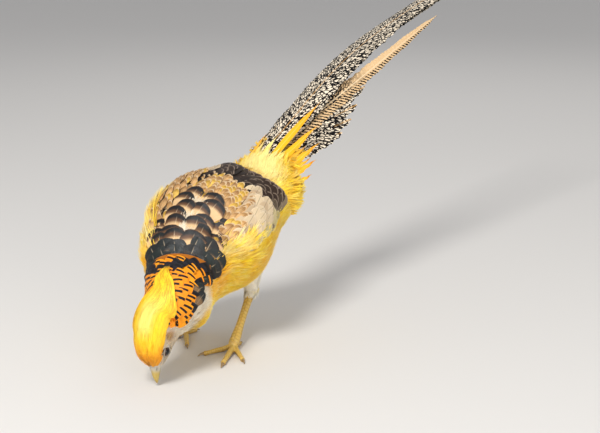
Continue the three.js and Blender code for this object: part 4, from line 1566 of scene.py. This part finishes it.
@dataclass
class Cape:
    """The barred ruff behind the cheeks and over the nape and neck."""

    bird: Bird
    reach: tuple = ((7, 48), (7.3, 66), (7.8, 86), (8.8, 88), (9.4, 68))
    span: tuple = (9.85, 7.45)
    pitch: float = 4.9
    spacing: float = 9.2
    length: float = 13.5
    width: float = 11.4
    vane: Vane = Vane(12, 3, 0.7, 0.5, 0.94, 0.04, 0.12, 0.15)

    @staticmethod
    def dye(roots: Roots, walk: Walk, rng: Chance) -> Array:
        """Orange, with black rear rows and black lower ends."""
        aside = np.abs(roots.turn)
        middle = np.abs(roots.turn + 5)
        black = np.where(roots.at < 7.62, middle > 19, (roots.at < 7.88) & (middle < 30)).astype(float)
        black = np.maximum(black, (aside > 78) & (roots.at > 7.8) & (roots.at < 8.4))
        tone = rng.normal(1, 0.05, (len(roots.at), 1))
        ground = blend(Dye.ORANGE, Dye.AMBER, rng.uniform(0, 0.75, len(roots.at))) * tone
        colour = blend(ground, blend(Dye.INK, paint(26, 30, 44), 0.6), black)
        return fade(colour, colour, walk)

    @staticmethod
    def height(at: Array, turn: Array, share: Array) -> Array:
        """Over the cape's shell, the tips a little higher."""
        return CAPE_SHELL.outer(at, np.clip(turn, -76, 76)) - 2.2 + 2.7 * share

    def build(self) -> None:
        """Builds the cape and lets it replace its node."""
        # painted shade: the cape's pad is orange at half brightness, under the feathers
        Pad(self.bird, CAPE_SHELL, 3.0).build("cape_pad", "cape", Dye.ORANGE * 0.5, "cape")
        reach = reach_of(both_ways(self.reach), self.reach)
        at, turn = self.bird.rows(self.span, reach, self.pitch, self.spacing, 0.08)
        roots = self.bird.sized(at, turn, self.length, self.width, 0.07, 3.5, turn * 0.12)
        self.bird.tract("cape", "cape", self.bird.wardrobe.cape, roots, self.vane, self.height, self.dye)


@dataclass
class Mantle:
    """The dark scales of the upper back: two columns, and a black collar behind the cape."""

    bird: Bird
    pitch: float = 8.0
    length: float = 27.0
    width: float = 26.0
    scale: Vane = Vane(14, 6, 0.6, 0.6, 0.8, 0.16, 0.1, 0.25)
    collar_vane: Vane = Vane(12, 4, 0.6, 0.6, 0.8, 0.16, 0.1, 0.4)
    collar_rows: tuple = ((7.7, 46, 6), (7.5, 52, 7), (7.3, 52, 6), (7.1, 46, 6))
    collar_ends: tuple = ((7.6, 66), (7.3, 60), (7.85, 74), (8.05, 83), (7.7, 80), (8.15, 92))
    collar_side: float = 57

    @staticmethod
    def inked(roots: Roots, walk: Walk, rng: Chance) -> Array:
        """The edges' black, a little green near the neck."""
        green = smooth(6.4, 7.4, roots.at) * rng.uniform(0, 0.4, len(roots.at))
        ink = blend(Dye.INK, paint(22, 44, 38), green)
        return fade(ink, ink, walk)

    def columns(self) -> Array:
        """The roots of both columns, staggered from row to row."""
        rng, spots, at, odd = self.bird.rng, [], 7.0, 0
        while at > 4.85:
            left = (-39, -18) if odd else (-34, -12)
            right = 8 + 5 * float(smooth(5.6, 6.8, at)) + (3 if odd else -2)
            places = (*left, right, right + 19) if at > 5.7 else (*left, right)
            spots += [(at + rng.normal(0, 0.02), turn + rng.normal(0, 1.2)) for turn in places]
            at -= self.pitch / BIRD.basis(np.array([at]), np.array([0.0]), 5.0)[3][0]
            odd = 1 - odd
        return np.array(spots).T

    @staticmethod
    def height(at: Array, turn: Array, share: Array) -> Array:
        """Over the mantle's shell, the tips higher."""
        return MANTLE_SHELL.outer(at, np.clip(turn, -40, 40)) - 2.6 + 3.4 * share

    def collar_height(self, at: Array, turn: Array, share: Array) -> Array:
        """Over the mantle's shell, and low on the neck at the sides."""
        over = MANTLE_SHELL.outer(np.clip(at, 3.2, 6.9), turn * 0) - 3.2
        return np.where(np.abs(turn) > self.collar_side, 0.4, over) + 3.6 * share

    def build(self) -> None:
        """Builds the mantle and lets it replace its node, and then the collar."""
        shell, wardrobe = replace(MANTLE_SHELL, start=4.3), self.bird.wardrobe
        # painted shade: the mantle's pad is tan darkened, under the scales
        Pad(self.bird, shell, 3.6).build("mantle_pad", "mantle", Dye.TAN * 0.6, "mantle")
        at, turn = self.columns()
        roots = self.bird.sized(at, turn, self.length, self.width, 0.06, 4, turn * -0.12)
        self.bird.tract("mantle", "mantle", wardrobe.scales, roots, self.scale, self.height, self.inked)
        self.bird.tract("collar", "mantle", wardrobe.collar, self.collar_roots(), self.collar_vane,
                        self.collar_height, self.inked)

    def collar_roots(self) -> Roots:
        """The nearly black feathers behind the cape, and those that spread below its ends."""
        rng, spots = self.bird.rng, []
        for at, wide, count in self.collar_rows:
            turns = np.linspace(-wide, wide, count) + rng.normal(0, 2, count)
            spots += [(at + rng.normal(0, 0.03), turn) for turn in turns]
        for side in SIDES.values():
            spots += [(at, side * turn) for at, turn in self.collar_ends]
        at, turn = np.array(spots).T
        side = np.abs(turn) > self.collar_side
        return self.bird.sized(at, turn, np.where(side, 18.0, 22.0), np.where(side, 12.0, 25.0), 0.08, 6,
                               np.sign(turn) * np.where(side, 14, 0))


@dataclass
class Wing:
    """One folded wing: scalloped small coverts, faded large ones, dark quills and their pad."""

    bird: Bird
    side: str
    quill_low: tuple = ((3, -3), (3.4, 0), (4.3, 18))
    quill_high: tuple = ((3, 64), (3.4, 68), (4.3, 64))
    quill_end: float = 2.12
    greater_high: tuple = ((3.8, 66), (4.6, 62), (5.5, 64))
    scallop_low: tuple = ((3.6, -4), (4.4, 0), (4.9, 18), (5.6, 22), (6.4, 30))
    quill: Vane = Vane(12, 3, 0.6, 0.5, 0.78, 0.13, 0.12, 0.2)
    greater: Vane = Vane(10, 3, 0.6, 0.5, 0.75, 0.16, 0.12, 0.5)
    scallop: Vane = Vane(8, 3, 0.5, 0.5, 0.7, 0.24, 0.2, 0.3)
    further_out: float = 1.55

    def tract(self, name: str, finish: Material, roots: Roots, vane: Vane, rise: tuple,
              dye: Callable) -> None:
        """Builds one tract of the wing's feathers, whose roots and tips rise so far over it."""
        shell = WING_SHELLS[self.side]

        def height(at: Array, turn: Array, share: Array) -> Array:
            """Over the wing's shell, and close to the back at its rear."""
            over = shell.outer(np.clip(at, 2.4, 5.6),
                               np.clip(turn, along(shell.top, at), along(shell.low, at)))
            sunk = 2.0 * (1 - smooth(4, 24, np.abs(turn))) * (1 - smooth(2.5, 3.4, at))
            over = over * (0.7 + 0.3 * smooth(2.1, 2.9, at))
            return over + rise[0] + (rise[1] - rise[0]) * share - sunk

        self.bird.tract(f"{name}_{self.side}", "wing", finish, roots, vane, height, dye)

    @staticmethod
    def dark(roots: Roots, walk: Walk, rng: Chance) -> Array:
        """Dark brown, paler at the wing's lower edge."""
        tone = rng.normal(1, 0.14, (len(roots.at), 1))
        low = smooth(52, 66, np.abs(roots.turn))
        ground = blend(Dye.UMBER, Dye.FADED * 0.5, low * 0.8) * tone
        return fade(ground, ground, walk)

    @staticmethod
    def faded(roots: Roots, walk: Walk, rng: Chance) -> Array:
        """Greyish cream, browner to the rear and olive at the lower edge, a little darker at the root as
        painted shade.
        """
        tone = rng.normal(1, 0.05, (len(roots.at), 1))
        ground = blend(Dye.FADED, Dye.BROWN, (1 - smooth(3.4, 3.8, roots.at)) * 0.45)
        ground = blend(ground, Dye.HAZEL, rng.uniform(0, 1, len(roots.at)) ** 3 * 0.4)
        ground = blend(ground, paint(196, 186, 96), smooth(55, 62, np.abs(roots.turn)) * 0.45)
        # painted shade: each feather is a little darker at its root
        return fade(ground * tone * 0.92, ground * tone, walk)

    @staticmethod
    def tawny(roots: Roots, walk: Walk, rng: Chance) -> Array:
        """Tan, with golden feathers in between."""
        tone = rng.normal(1, 0.09, (len(roots.at), 1))
        inner = 1 - smooth(20, 34, np.abs(roots.turn))
        gold = (rng.uniform(0, 1, len(roots.at)) > 0.9 - 0.2 * inner) * 0.55
        ground = blend(Dye.TAN, Dye.HAZEL, rng.uniform(0, 0.45, len(roots.at)))
        ground = blend(ground, Dye.GOLD, gold) * tone
        return fade(ground, ground, walk)

    def build(self) -> None:
        """Builds the whole wing. The right one's large coverts start further out."""
        rng, sign, wardrobe = self.bird.rng, SIDES[self.side], self.bird.wardrobe
        # painted shade: the wing's pad is its faded cream at half brightness, under the coverts
        Pad(self.bird, WING_SHELLS[self.side], 3.4).build(
            f"wing_pad_{self.side}", "wing", Dye.FADED * 0.5, f"wing_{self.side}")
        at, turn = self.bird.rows((4.25, 3.05), reach_of(self.quill_low, self.quill_high), 5.6, 11.0, 0.15)
        left = BIRD.point(at, sign * turn, 3.0) - BIRD.point(self.quill_end, sign * turn, 3.0)
        length = np.linalg.norm(left, axis=1) * rng.normal(1, 0.03, at.shape)
        roots = self.bird.sized(at, sign * turn, np.clip(length, 14, 34), 17.0, 0.01, 3, sign * -2.0)
        self.tract("quills", wardrobe.quill, roots, self.quill, (-2.6, -0.9), self.dark)
        inner = 1.0 if sign > 0 else self.further_out
        greater_low = ((3.5, 21 * inner), (4.2, 27 * inner), (4.6, 33 * inner), (5.5, 41 * inner))
        at, turn = self.bird.rows((5.5, 3.55), reach_of(greater_low, self.greater_high), 6.0, 8.0, 0.3)
        roots = self.bird.sized(at, sign * turn, 25.0, 13.0, 0.12, 8, sign * -2.0)
        self.tract("greater", wardrobe.soft_covert, roots, self.greater, (-2.0, 0.7), self.faded)
        scallop_high = ((3.6, 28 * inner), (3.9, 34 * inner), (4.6, 40 * inner), (5.4, 41 * inner), (6.4, 41))
        at, turn = self.bird.rows((6.35, 3.65), reach_of(self.scallop_low, scallop_high), 4.6, 7.4, 0.25)
        roots = self.bird.sized(at, sign * turn, 15.0, 9.6, 0.12, 9)
        self.tract("scallops", wardrobe.covert, roots, self.scallop, (-1.4, 1.3), self.tawny)


@dataclass(frozen=True)
class Rectrix:
    """A tail feather: its length behind the tail's root, width, fan in degrees, layers and bow."""

    length: float
    width: float
    fan: float
    layers: tuple
    bow: float = 0


@dataclass
class Tail:
    """The long tail: fourteen feathers in layers, with golden spears over their roots."""

    bird: Bird
    start: float = -14
    layer: float = 1.7
    right_share: float = 0.96
    row: float = 2.6
    columns: int = 4
    spear: Vane = Vane(20, 3, 0.7, 0.45, 0.03, 0.12, 0.1, 0.5)
    widths: tuple = ((0, 0.32), (0.21, 1), (0.36, 1), (0.55, 0.66), (0.75, 0.5), (0.9, 0.3), (1, 0.03))
    short_widths: tuple = ((0, 0.32), (0.21, 1), (0.5, 0.9), (0.75, 0.66), (0.92, 0.34), (1, 0.06))
    sway: tuple = ((20, 0), (200, -13), (360, -10))
    pairs: tuple = (
        Rectrix(600, 40, 0.4, (0, 1.35)),
        Rectrix(520, 34, 0.9, (2.6, 3.75)),
        Rectrix(336, 21, 2.6, (5, 5), 8),
        Rectrix(165, 27, 8, (6, 6)),
        Rectrix(140, 27, 12, (7, 7)),
        Rectrix(122, 27, 16, (8, 8)),
        Rectrix(102, 27, 20, (9, 9)),
    )
    spears: tuple = (
        (-4, 12, 98, 11, 8), (-4, 20, 72, 25, 8), (-6, 28, 57, 38, 7.5), (-8, 35, 38, 46, 7),
        (-8, 42, 20, 51, 6), (-4, 24, 42, 30, 5), (-6, 32, 36, 41, 5), (-8, 5, 26, 2, 5.5),
        (-12, -3, 18, -7, 5), (-16, -8, 28, -13, 4), (-12, 0, 12, 4, 5),
    )

    def build(self) -> None:
        """Builds every tail feather, each standing for its node, and the spears."""
        for pair, rectrix in enumerate(self.pairs, 1):
            for k, (side, sign) in enumerate(SIDES.items()):
                self.feather(f"tail_{pair}_{side}", rectrix, sign, rectrix.layers[k])
        self.build_spears()

    def feather(self, name: str, rectrix: Rectrix, sign: int, layer: float) -> None:
        """Builds one tail feather, its edges ragged.

        Args:
            name: Its node's name.
            rectrix: Its sizes.
            sign: 1 on the bird's left, -1 on its right.
            layer: Which layer it lies in.
        """
        rng = self.bird.rng
        length = (1 if sign > 0 else self.right_share) * rectrix.length - self.start
        rows, columns = max(40, int(length / self.row)), self.columns
        share = np.linspace(0, 1, rows + 1)
        half = 0.5 * rectrix.width * along(self.short_widths if rectrix.fan > 5 else self.widths, share)
        fan = math.radians(rectrix.fan)
        turned = np.abs(self.start * 0.35 + length * share) * math.sin(fan)
        fanned = turned + rectrix.bow * np.sin(math.pi * share)
        one_sided = rectrix.layers[0] == rectrix.layers[1]
        aside = sign * (np.maximum(fanned, half + 0.4) if one_sided else fanned)
        back = self.start + length * share * math.cos(fan)
        middle = aside + (0 if one_sided else along(self.sway, back))
        u = np.linspace(-1, 1, 2 * columns + 1)
        edge = np.abs(u) > 0.99
        ragged = rng.uniform(-0.1, 0.05, (rows + 1, 2 * columns + 1)) * edge * (1.6 if one_sided else 1)
        turn = middle[:, None] + half[:, None] * (u + np.sign(u) * ragged)
        sweep = np.abs(u) ** 1.5 * half[:, None] * 0.5 * smooth(0.3, 1, share)[:, None]
        at = -(back[:, None] - sweep * (1 - 0.6 * share[:, None]))
        raised = -layer * self.layer - 0.02 * np.abs(u) * half[:, None]
        grid = ROOF.point(at, turn, np.broadcast_to(raised, at.shape))
        quad = grid_faces(rows, 2 * columns)[:, [0, 3, 2, 1]]
        flat = np.stack(np.broadcast_arrays(0.5 + 0.5 * sign * u[None, :], share[:, None]), -1)
        span = np.stack(np.broadcast_arrays(half[:, None] * u * 0.01, (share * length * 0.01)[:, None]), -1)
        span = span + np.array([0, rng.uniform(0, 9)])
        bake = np.stack(np.broadcast_arrays(0.5 + 0.45 * half[:, None] * u / (0.5 * rectrix.width),
                                            0.01 + 0.98 * share[:, None]), -1)
        tone = Dye.CREAM * (1.0 - 0.07 * (layer > 4.5))
        fleece = Fleece(name)
        fleece.add(grid[None], quad, share=flat, span=span, bake=bake, dye=np.broadcast_to(tone, grid.shape))
        finish = self.bird.wardrobe.barred if rectrix.bow else self.bird.wardrobe.tail
        self.bird.settle(fleece, "tail", finish, name)

    def build_spears(self) -> None:
        """Builds the long pointed coverts over the tail's root."""
        back, left, end_back, end_left, width = np.array(self.spears, float).T
        run = end_back - back
        roots = Roots(-back + 8, left, np.hypot(run, end_left - left) + 8, width,
                      np.degrees(np.arctan2(end_left - left, run)), self.bird.rng.uniform(0, 1, len(back)))

        def height(at: Array, turn: Array, share: Array) -> Array:
            """A little over the tail, each spear at its own height."""
            return 2.4 + 1.4 * share + 0.5 * np.sin(turn * 3)

        def dye(roots: Roots, walk: Walk, rng: Chance) -> Array:
            """Gold with orange-gold tips, or straw on the short ones in the middle."""
            tone = rng.normal(1, 0.05, (len(roots.at), 1))
            pale = ((np.abs(roots.turn) < 12) & (roots.length < 45))[:, None]
            last = np.where(pale, Dye.STRAW, Dye.SPEAR)
            return fade(np.broadcast_to(Dye.GOLD, (len(roots.at), 3)) * tone, last * tone, walk)

        self.bird.tract("spears", "plumage_gold", self.bird.wardrobe.spear, roots, self.spear, height, dye,
                        sheet=ROOF)


def pick(*things: Thing) -> None:
    """Selects these objects and no others, and makes the first active."""
    bpy.ops.object.select_all(action="DESELECT")
    for thing in things:
        thing.select_set(True)
    if things:
        bpy.context.view_layer.objects.active = things[0]


def copy_nodes(name: str, nodes: list) -> Thing:
    """Joins copies of nodes into one piece, with its points merged.

    Args:
        name: The new piece's name.
        nodes: The nodes' objects.

    Returns:
        The piece.
    """
    copies = [bpy.data.objects.new(name, node.data.copy()) for node in nodes]
    for twin in copies:
        bpy.context.scene.collection.objects.link(twin)
    pick(*copies)
    bpy.ops.object.join()
    thing = bpy.context.view_layer.objects.active
    thing.name = name
    bpy.ops.object.mode_set(mode="EDIT")
    bpy.ops.mesh.select_all(action="SELECT")
    bpy.ops.mesh.remove_doubles(threshold=1e-6)
    bpy.ops.object.mode_set(mode="OBJECT")
    return thing


def add_ball(centre: Array, radius: float, around: int) -> Thing:
    """Adds a ball.

    Args:
        centre: Its centre, in metres.
        radius: Its radius.
        around: How many points it has round it.

    Returns:
        The ball.
    """
    pick()
    bpy.ops.mesh.primitive_uv_sphere_add(segments=around, ring_count=RINGS_OF_BALL[around], radius=radius,
                                         location=centre)
    return bpy.context.view_layer.objects.active


def finish_with(thing: Thing, kind: str, **settings: object) -> None:
    """Adds a modifier and applies it.

    Args:
        thing: The object.
        kind: The modifier's type.
        settings: Its settings.
    """
    pick(thing)
    modifier = thing.modifiers.new(kind.lower(), kind)
    for key, value in settings.items():
        setattr(modifier, key, value)
    bpy.ops.object.modifier_apply(modifier=modifier.name)


@dataclass
class Legs:
    """Shanks and toes with their scales, and the claws."""

    bird: Bird
    frame: dict
    grain: float = 0.00055
    toes: tuple = ((-50, 34, 3.5), (0, 46, 3.8), (28, 36, 3.4), (172, 17, 2.9))
    ankle: tuple = ((0, 6.0), (2.4, 6.0), (4.6, 5.8), (6.8, 5.4), (9, 5.0))
    cuticle: float = 0.76
    shank_scale: float = 4.2
    toe_scale: float = 2.5
    relief: float = 0.42

    def build(self) -> None:
        """Builds both legs and all claws, and lets them replace their nodes."""
        nodes = self.frame["nodes"]
        for side, leg in LEGS.items():
            parts = [f"shank_{side}", f"foot_{side}"]
            thing = copy_nodes(f"leg_{side}", [nodes[name] for name in parts])
            for centre, radius in self.knuckles(side, leg):
                ball = add_ball((centre + self.bird.origin) * MM, radius * MM, 32)
                pick(thing, ball)
                bpy.ops.object.join()
            finish_with(thing, "REMESH", mode="VOXEL", voxel_size=self.grain)
            finish_with(thing, "SMOOTH", factor=0.5, iterations=8)
            self.scale_over(thing.data, side, leg)
            self.bird.settle(thing, "shank", self.bird.wardrobe.scute, *parts)
        claws = [name for name in nodes if name.startswith("claw_")]
        thing = copy_nodes("claws", [nodes[name] for name in claws])
        finish_with(thing, "SUBSURF", levels=2, render_levels=2)
        self.bird.settle(thing, "claw", self.bird.wardrobe.claw, *claws)

    @staticmethod
    def toe_heading(side: str, leg: Leg, turn: float) -> Array:
        """The level direction of a toe, from its turn outwards."""
        heading = math.radians(leg.heading + SIDES[side] * turn)
        return np.array([math.sin(heading), -math.cos(heading), 0.0])

    def knuckles(self, side: str, leg: Leg) -> list:
        """The balls that round off the ankle and the ends of the toes, as centres and radii."""
        up = unit(leg.hock - leg.foot)
        found = [(leg.foot + up * step, radius) for step, radius in self.ankle]
        for turn, reach, thick in self.toes:
            end = leg.foot + self.toe_heading(side, leg, turn) * reach
            end[2] = 0.3 + 0.6 * thick
            found.append((end, self.cuticle * thick))
        return found

    def scale_over(self, mesh: bpy.types.Mesh, side: str, leg: Leg) -> None:
        """Raises scales on a leg and colours their edges.

        Args:
            mesh: The leg's mesh.
            side: Which leg it is.
            leg: Its joints.
        """
        own, normal = read_points(mesh) / MM - self.bird.origin, read_points(mesh, "normal")
        axis = unit(leg.foot - leg.hock)
        rows = (own - leg.hock) @ axis
        radial = own - leg.hock - rows[:, None] * axis
        fore = unit(self.toe_heading(side, leg, 0))
        angle = np.arctan2(radial @ np.cross(axis, fore), radial @ fore)
        place = rows / self.shank_scale + 0.5 * (np.abs(angle) < 1.0) * (angle > 0)
        seam = 1 - np.exp(-((np.abs(np.abs(angle) - 1.3) / 0.12) ** 2))
        seam = seam * (1 - np.exp(-((np.abs(angle) / 0.1) ** 2)))
        on_foot = own[:, 2] < leg.foot[2] + 4
        best, toe_ridge, flat = np.full(len(own), 1e9), np.ones(len(own)), own - leg.foot
        for turn, reach, _ in self.toes:
            ahead = self.toe_heading(side, leg, turn)
            run = flat @ ahead
            away = np.linalg.norm((flat - run[:, None] * ahead)[:, :2], axis=1)
            away = np.where((run > -2) & (run < reach + 6), away, 1e9)
            toe_ridge = np.where(away < best, self.ridge(run / self.toe_scale), toe_ridge)
            best = np.minimum(away, best)
        upper = smooth(-0.2, 0.4, normal[:, 2])
        raised = np.where(on_foot, toe_ridge * upper, self.ridge(place) * seam)
        depth = np.where(on_foot & (own[:, 2] < 0.8), 0, self.relief)
        moved = own + normal * (raised[:, None] - 0.6) * depth[:, None]
        moved[:, 2] = np.maximum(moved[:, 2], 0.0)
        mesh.vertices.foreach_set("co", flat_list((moved + self.bird.origin) * MM))
        mesh.update()
        scale = blend(paint(170, 126, 44), paint(220, 182, 84), raised)
        pale = smooth(0.3, 1.0, np.sin(own[:, 2] * 0.9 + own[:, 0] * 0.7) * np.sin(own[:, 1] * 0.8)) * 0.4
        stain(mesh, blend(scale, paint(232, 210, 150), pale))

    @staticmethod
    def ridge(place: Array) -> Array:
        """Each scale's rounded height, by the count of scales up to a place."""
        return 1 - np.abs(2 * (place % 1) - 1) ** 4


@dataclass
class Face:
    """Eyes with lids, and the bill."""

    bird: Bird
    pupil: float = 2.4
    lid_reach: tuple = (5.1, 3.9)
    lid_thick: tuple = (1.05, 0.55)
    bill_base: float = 15
    bill_length: float = 24.5
    bill_half_width: float = 5.8

    def build(self) -> None:
        """Builds both eyes with their lids, and both mandibles."""
        axes = HEAD.axes()
        for side, sign in SIDES.items():
            centre = (HEAD.place(EYE_FRONT, sign * EYE_SIDE, EYE_TOP) + self.bird.origin) * MM
            outward = unit(axes[1] * sign + axes[0] * 0.12 + axes[2] * 0.12)
            self.build_eye(side, centre, outward)
            self.build_lids(side, centre, outward, axes[0])
        self.build_mandible("bill_upper", 1, 1.0, 8.2)
        self.build_mandible("bill_lower", -1, 0.88, 4.2)

    def build_eye(self, side: str, centre: Array, outward: Array) -> None:
        """Builds one eye, its clear front bulging.

        Args:
            side: Which eye it is.
            centre: Its centre, in metres.
            outward: Where it looks.
        """
        ball = add_ball(centre, EYE_RADIUS * MM, 48)
        ball.name = f"eyeball_{side}"
        bpy.ops.object.transform_apply(location=True, rotation=True, scale=True)
        away = (read_points(ball.data) - centre) / MM
        out = away @ outward
        from_axis = np.linalg.norm(away - out[:, None] * outward, axis=1)
        bulge = np.where(out > 0, 0.35 * np.exp(-((from_axis / 2.8) ** 2)), 0)
        ball.data.vertices.foreach_set("co", flat_list((away + outward * bulge[:, None]) * MM + centre))
        iris = blend(paint(34, 20, 12), paint(66, 40, 22), smooth(2.5, 3.4, from_axis))
        black = np.broadcast_to(paint(3, 3, 3), iris.shape)
        stain(ball.data, blend(black, iris, smooth(self.pupil, self.pupil + 0.3, from_axis)))
        self.bird.settle(ball, "eye", self.bird.wardrobe.eye, f"eye_{side}")

    def build_lids(self, side: str, centre: Array, outward: Array, ahead: Array) -> None:
        """Builds the oval ring of lid skin round one eye.

        Args:
            side: Which eye it is.
            centre: The eye's centre, in metres.
            outward: Where the eye looks.
            ahead: Where the head points.
        """
        run = unit(ahead - (ahead @ outward) * outward)
        rise = np.cross(outward, run)
        ring, around, tube = [], 64, 14
        turn = np.linspace(0, 2 * math.pi, tube, endpoint=False)
        for angle in np.linspace(0, 2 * math.pi, around, endpoint=False):
            oval = run * math.cos(angle) * self.lid_reach[0] + rise * math.sin(angle) * self.lid_reach[1]
            level = math.sqrt(max(0.2, (EYE_RADIUS + 0.1) ** 2 - float(oval @ oval)))
            wrinkle = 1 + 0.08 * math.sin(angle * 23)
            ring.append(oval + outward * level
                        + np.outer(np.cos(turn), unit(oval)) * self.lid_thick[0] * wrinkle
                        + np.outer(np.sin(turn), outward) * self.lid_thick[1] * wrinkle)
        i, j = np.meshgrid(np.arange(around), np.arange(tube), indexing="ij")
        after, beside = (i + 1) % around * tube, (j + 1) % tube
        quad = np.stack([i * tube + j, i * tube + beside, after + beside, after + j], -1)
        fleece = Fleece(f"lids_{side}")
        fleece.add((np.array(ring) + centre / MM - self.bird.origin)[None], quad)
        self.bird.settle(fleece, "face", self.bird.wardrobe.lid)

    def build_mandible(self, name: str, side: int, reach: float, height: float) -> None:
        """Builds one mandible, with the nostrils if it is the upper one.

        Args:
            name: Its node.
            side: 1 for the upper, -1 for the lower.
            reach: Its length, as a share of the upper one's.
            height: Its height at the base.
        """
        rings, points = 44, 30
        share = np.linspace(0, 1, rings)[:, None]
        turn = np.linspace(0, math.pi, points)[None, :]
        front = self.bill_base + self.bill_length * reach * share
        sink = 3.2 * (reach * share) ** 2.4
        narrow = 0.06 + 0.94 * (1 - share**1.9) ** 0.8
        across = np.cos(turn) * self.bill_half_width * narrow
        nostril = np.exp(-(((front - 24) / 2.2) ** 2) - ((np.abs(np.cos(turn)) - 0.62) / 0.2) ** 2)
        slit = np.exp(-(((front - 24.6) / 1.7) ** 2) - ((np.abs(np.cos(turn)) - 0.78) / 0.07) ** 2)
        slit = slit * (side > 0)
        swell = 0.75 * nostril * (side > 0) - slit
        rise = 0.12 + np.sin(turn) * height * narrow + 0.4 * swell
        arch = HEAD.place(front, across + np.sign(np.cos(turn)) * swell, -3.4 - sink + side * rise)
        quad, tri = lathe_faces(rings, points)
        dark = blend(paint(198, 192, 178), paint(196, 168, 84), smooth(24, 30, front))
        dark = blend(dark, paint(120, 92, 40), smooth(35.5, 39.5, front) * 0.6)
        # painted shade: the nostril slits are darkened for the shade in their openings
        dark = np.broadcast_to(dark, (rings, points, 3)) * (1 - 0.75 * slit)[..., None]
        dye = np.concatenate([dark.reshape(-1, 3), dark[0, :1], dark[-1, :1]])
        fleece = Fleece(f"horn_{name}")
        fleece.add(closed(arch)[None], quad[:, ::-side], tri[:, ::-side], dye=dye[None])
        self.bird.settle(fleece, "bill", self.bird.wardrobe.horn, name)


@dataclass(frozen=True)
class Studio:
    """Floor, soft lights and camera."""

    azimuth: float = 45.0
    elevation: float = 14.0
    distance: float = 1300.0
    focal_px: float = 1209.0
    width: int = 600
    height: int = 433
    aim: tuple = (0, 0, 127)
    aim_px: tuple = (213.0, 229.0)
    sensor: float = 36.0

    def build(self, origin: Array) -> None:
        """Builds all of it.

        Args:
            origin: Where the bird's own origin lies in the frame, in millimetres.
        """
        self.build_floor()
        self.build_lights()
        self.build_camera(origin)
        world = bpy.data.worlds.new("studio")
        bpy.context.scene.world = world
        world.use_nodes = True
        world.node_tree.nodes["Background"].inputs[0].default_value = (0.93, 0.95, 1.0, 1)
        world.node_tree.nodes["Background"].inputs[1].default_value = 0.5
        bpy.context.scene.view_settings.view_transform = "Standard"

    @staticmethod
    def build_floor() -> None:
        """Builds a pale floor."""
        pick()
        bpy.ops.mesh.primitive_plane_add(size=40.0, location=(0, 0, 0))
        floor = bpy.context.view_layer.objects.active
        floor.name = "floor"
        finish = Finish("floor", Gloss(0.85, 0, 0, 0.2))
        floor.data.materials.append(finish.dressed(paint(222, 218, 212)))

    def build_camera(self, origin: Array) -> None:
        """Places the camera where the photo's view is seen."""
        a, e = math.radians(self.azimuth), math.radians(self.elevation)
        back = np.array([math.sin(a) * math.cos(e), -math.cos(a) * math.cos(e), math.sin(e)])
        right = np.array([math.cos(a), math.sin(a), 0])
        up = np.cross(back, right)
        shift_x = (self.aim_px[0] - self.width / 2) / self.focal_px * self.distance
        shift_y = (self.aim_px[1] - self.height / 2) / self.focal_px * self.distance
        at = np.array(self.aim) + origin + back * self.distance - right * shift_x + up * shift_y
        data = bpy.data.cameras.new("camera")
        data.sensor_width = self.sensor
        data.lens = self.focal_px / self.width * self.sensor
        data.clip_start = 0.05
        camera = bpy.data.objects.new("camera", data)
        turn = Matrix((right, up, back)).transposed()
        camera.matrix_world = Matrix.Translation(Vector(at * MM)) @ turn.to_4x4()
        bpy.context.scene.collection.objects.link(camera)
        bpy.context.scene.camera = camera

    @staticmethod
    def build_lights() -> None:
        """Places a large key light, a fill and a rim light."""
        lights = (("key", (0.7, -1.8, 2.1), 0.8, 52.0), ("fill", (2.2, -1.2, 0.5), 1.8, 26.0),
                  ("rim", (-1.2, 1.6, 1.9), 1.2, 6.0))
        for name, place, size, watts in lights:
            data = bpy.data.lights.new(name, "AREA")
            data.shape = "DISK"
            data.size = size
            data.energy = watts
            lamp = bpy.data.objects.new(name, data)
            lamp.location = place
            aim = Vector((0, -0.15, 0.15)) - Vector(place)
            lamp.rotation_euler = aim.to_track_quat("-Z", "Y").to_euler()
            bpy.context.scene.collection.objects.link(lamp)


def main() -> None:
    """Builds the scene around the frame, in order, and notes its size."""
    logging.basicConfig(level=logging.INFO, format="%(name)s: %(message)s")
    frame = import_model()
    bird = Bird()
    Studio().build(bird.origin)
    Skin(bird).build()
    SoftCoat(bird).build()
    Crest(bird).build()
    Cape(bird).build()
    Mantle(bird).build()
    for side in SIDES:
        Wing(bird, side).build()
    Tail(bird).build()
    Legs(bird, frame).build()
    Face(bird).build()
    bpy.context.view_layer.update()


if __name__ == "__main__":
    main()
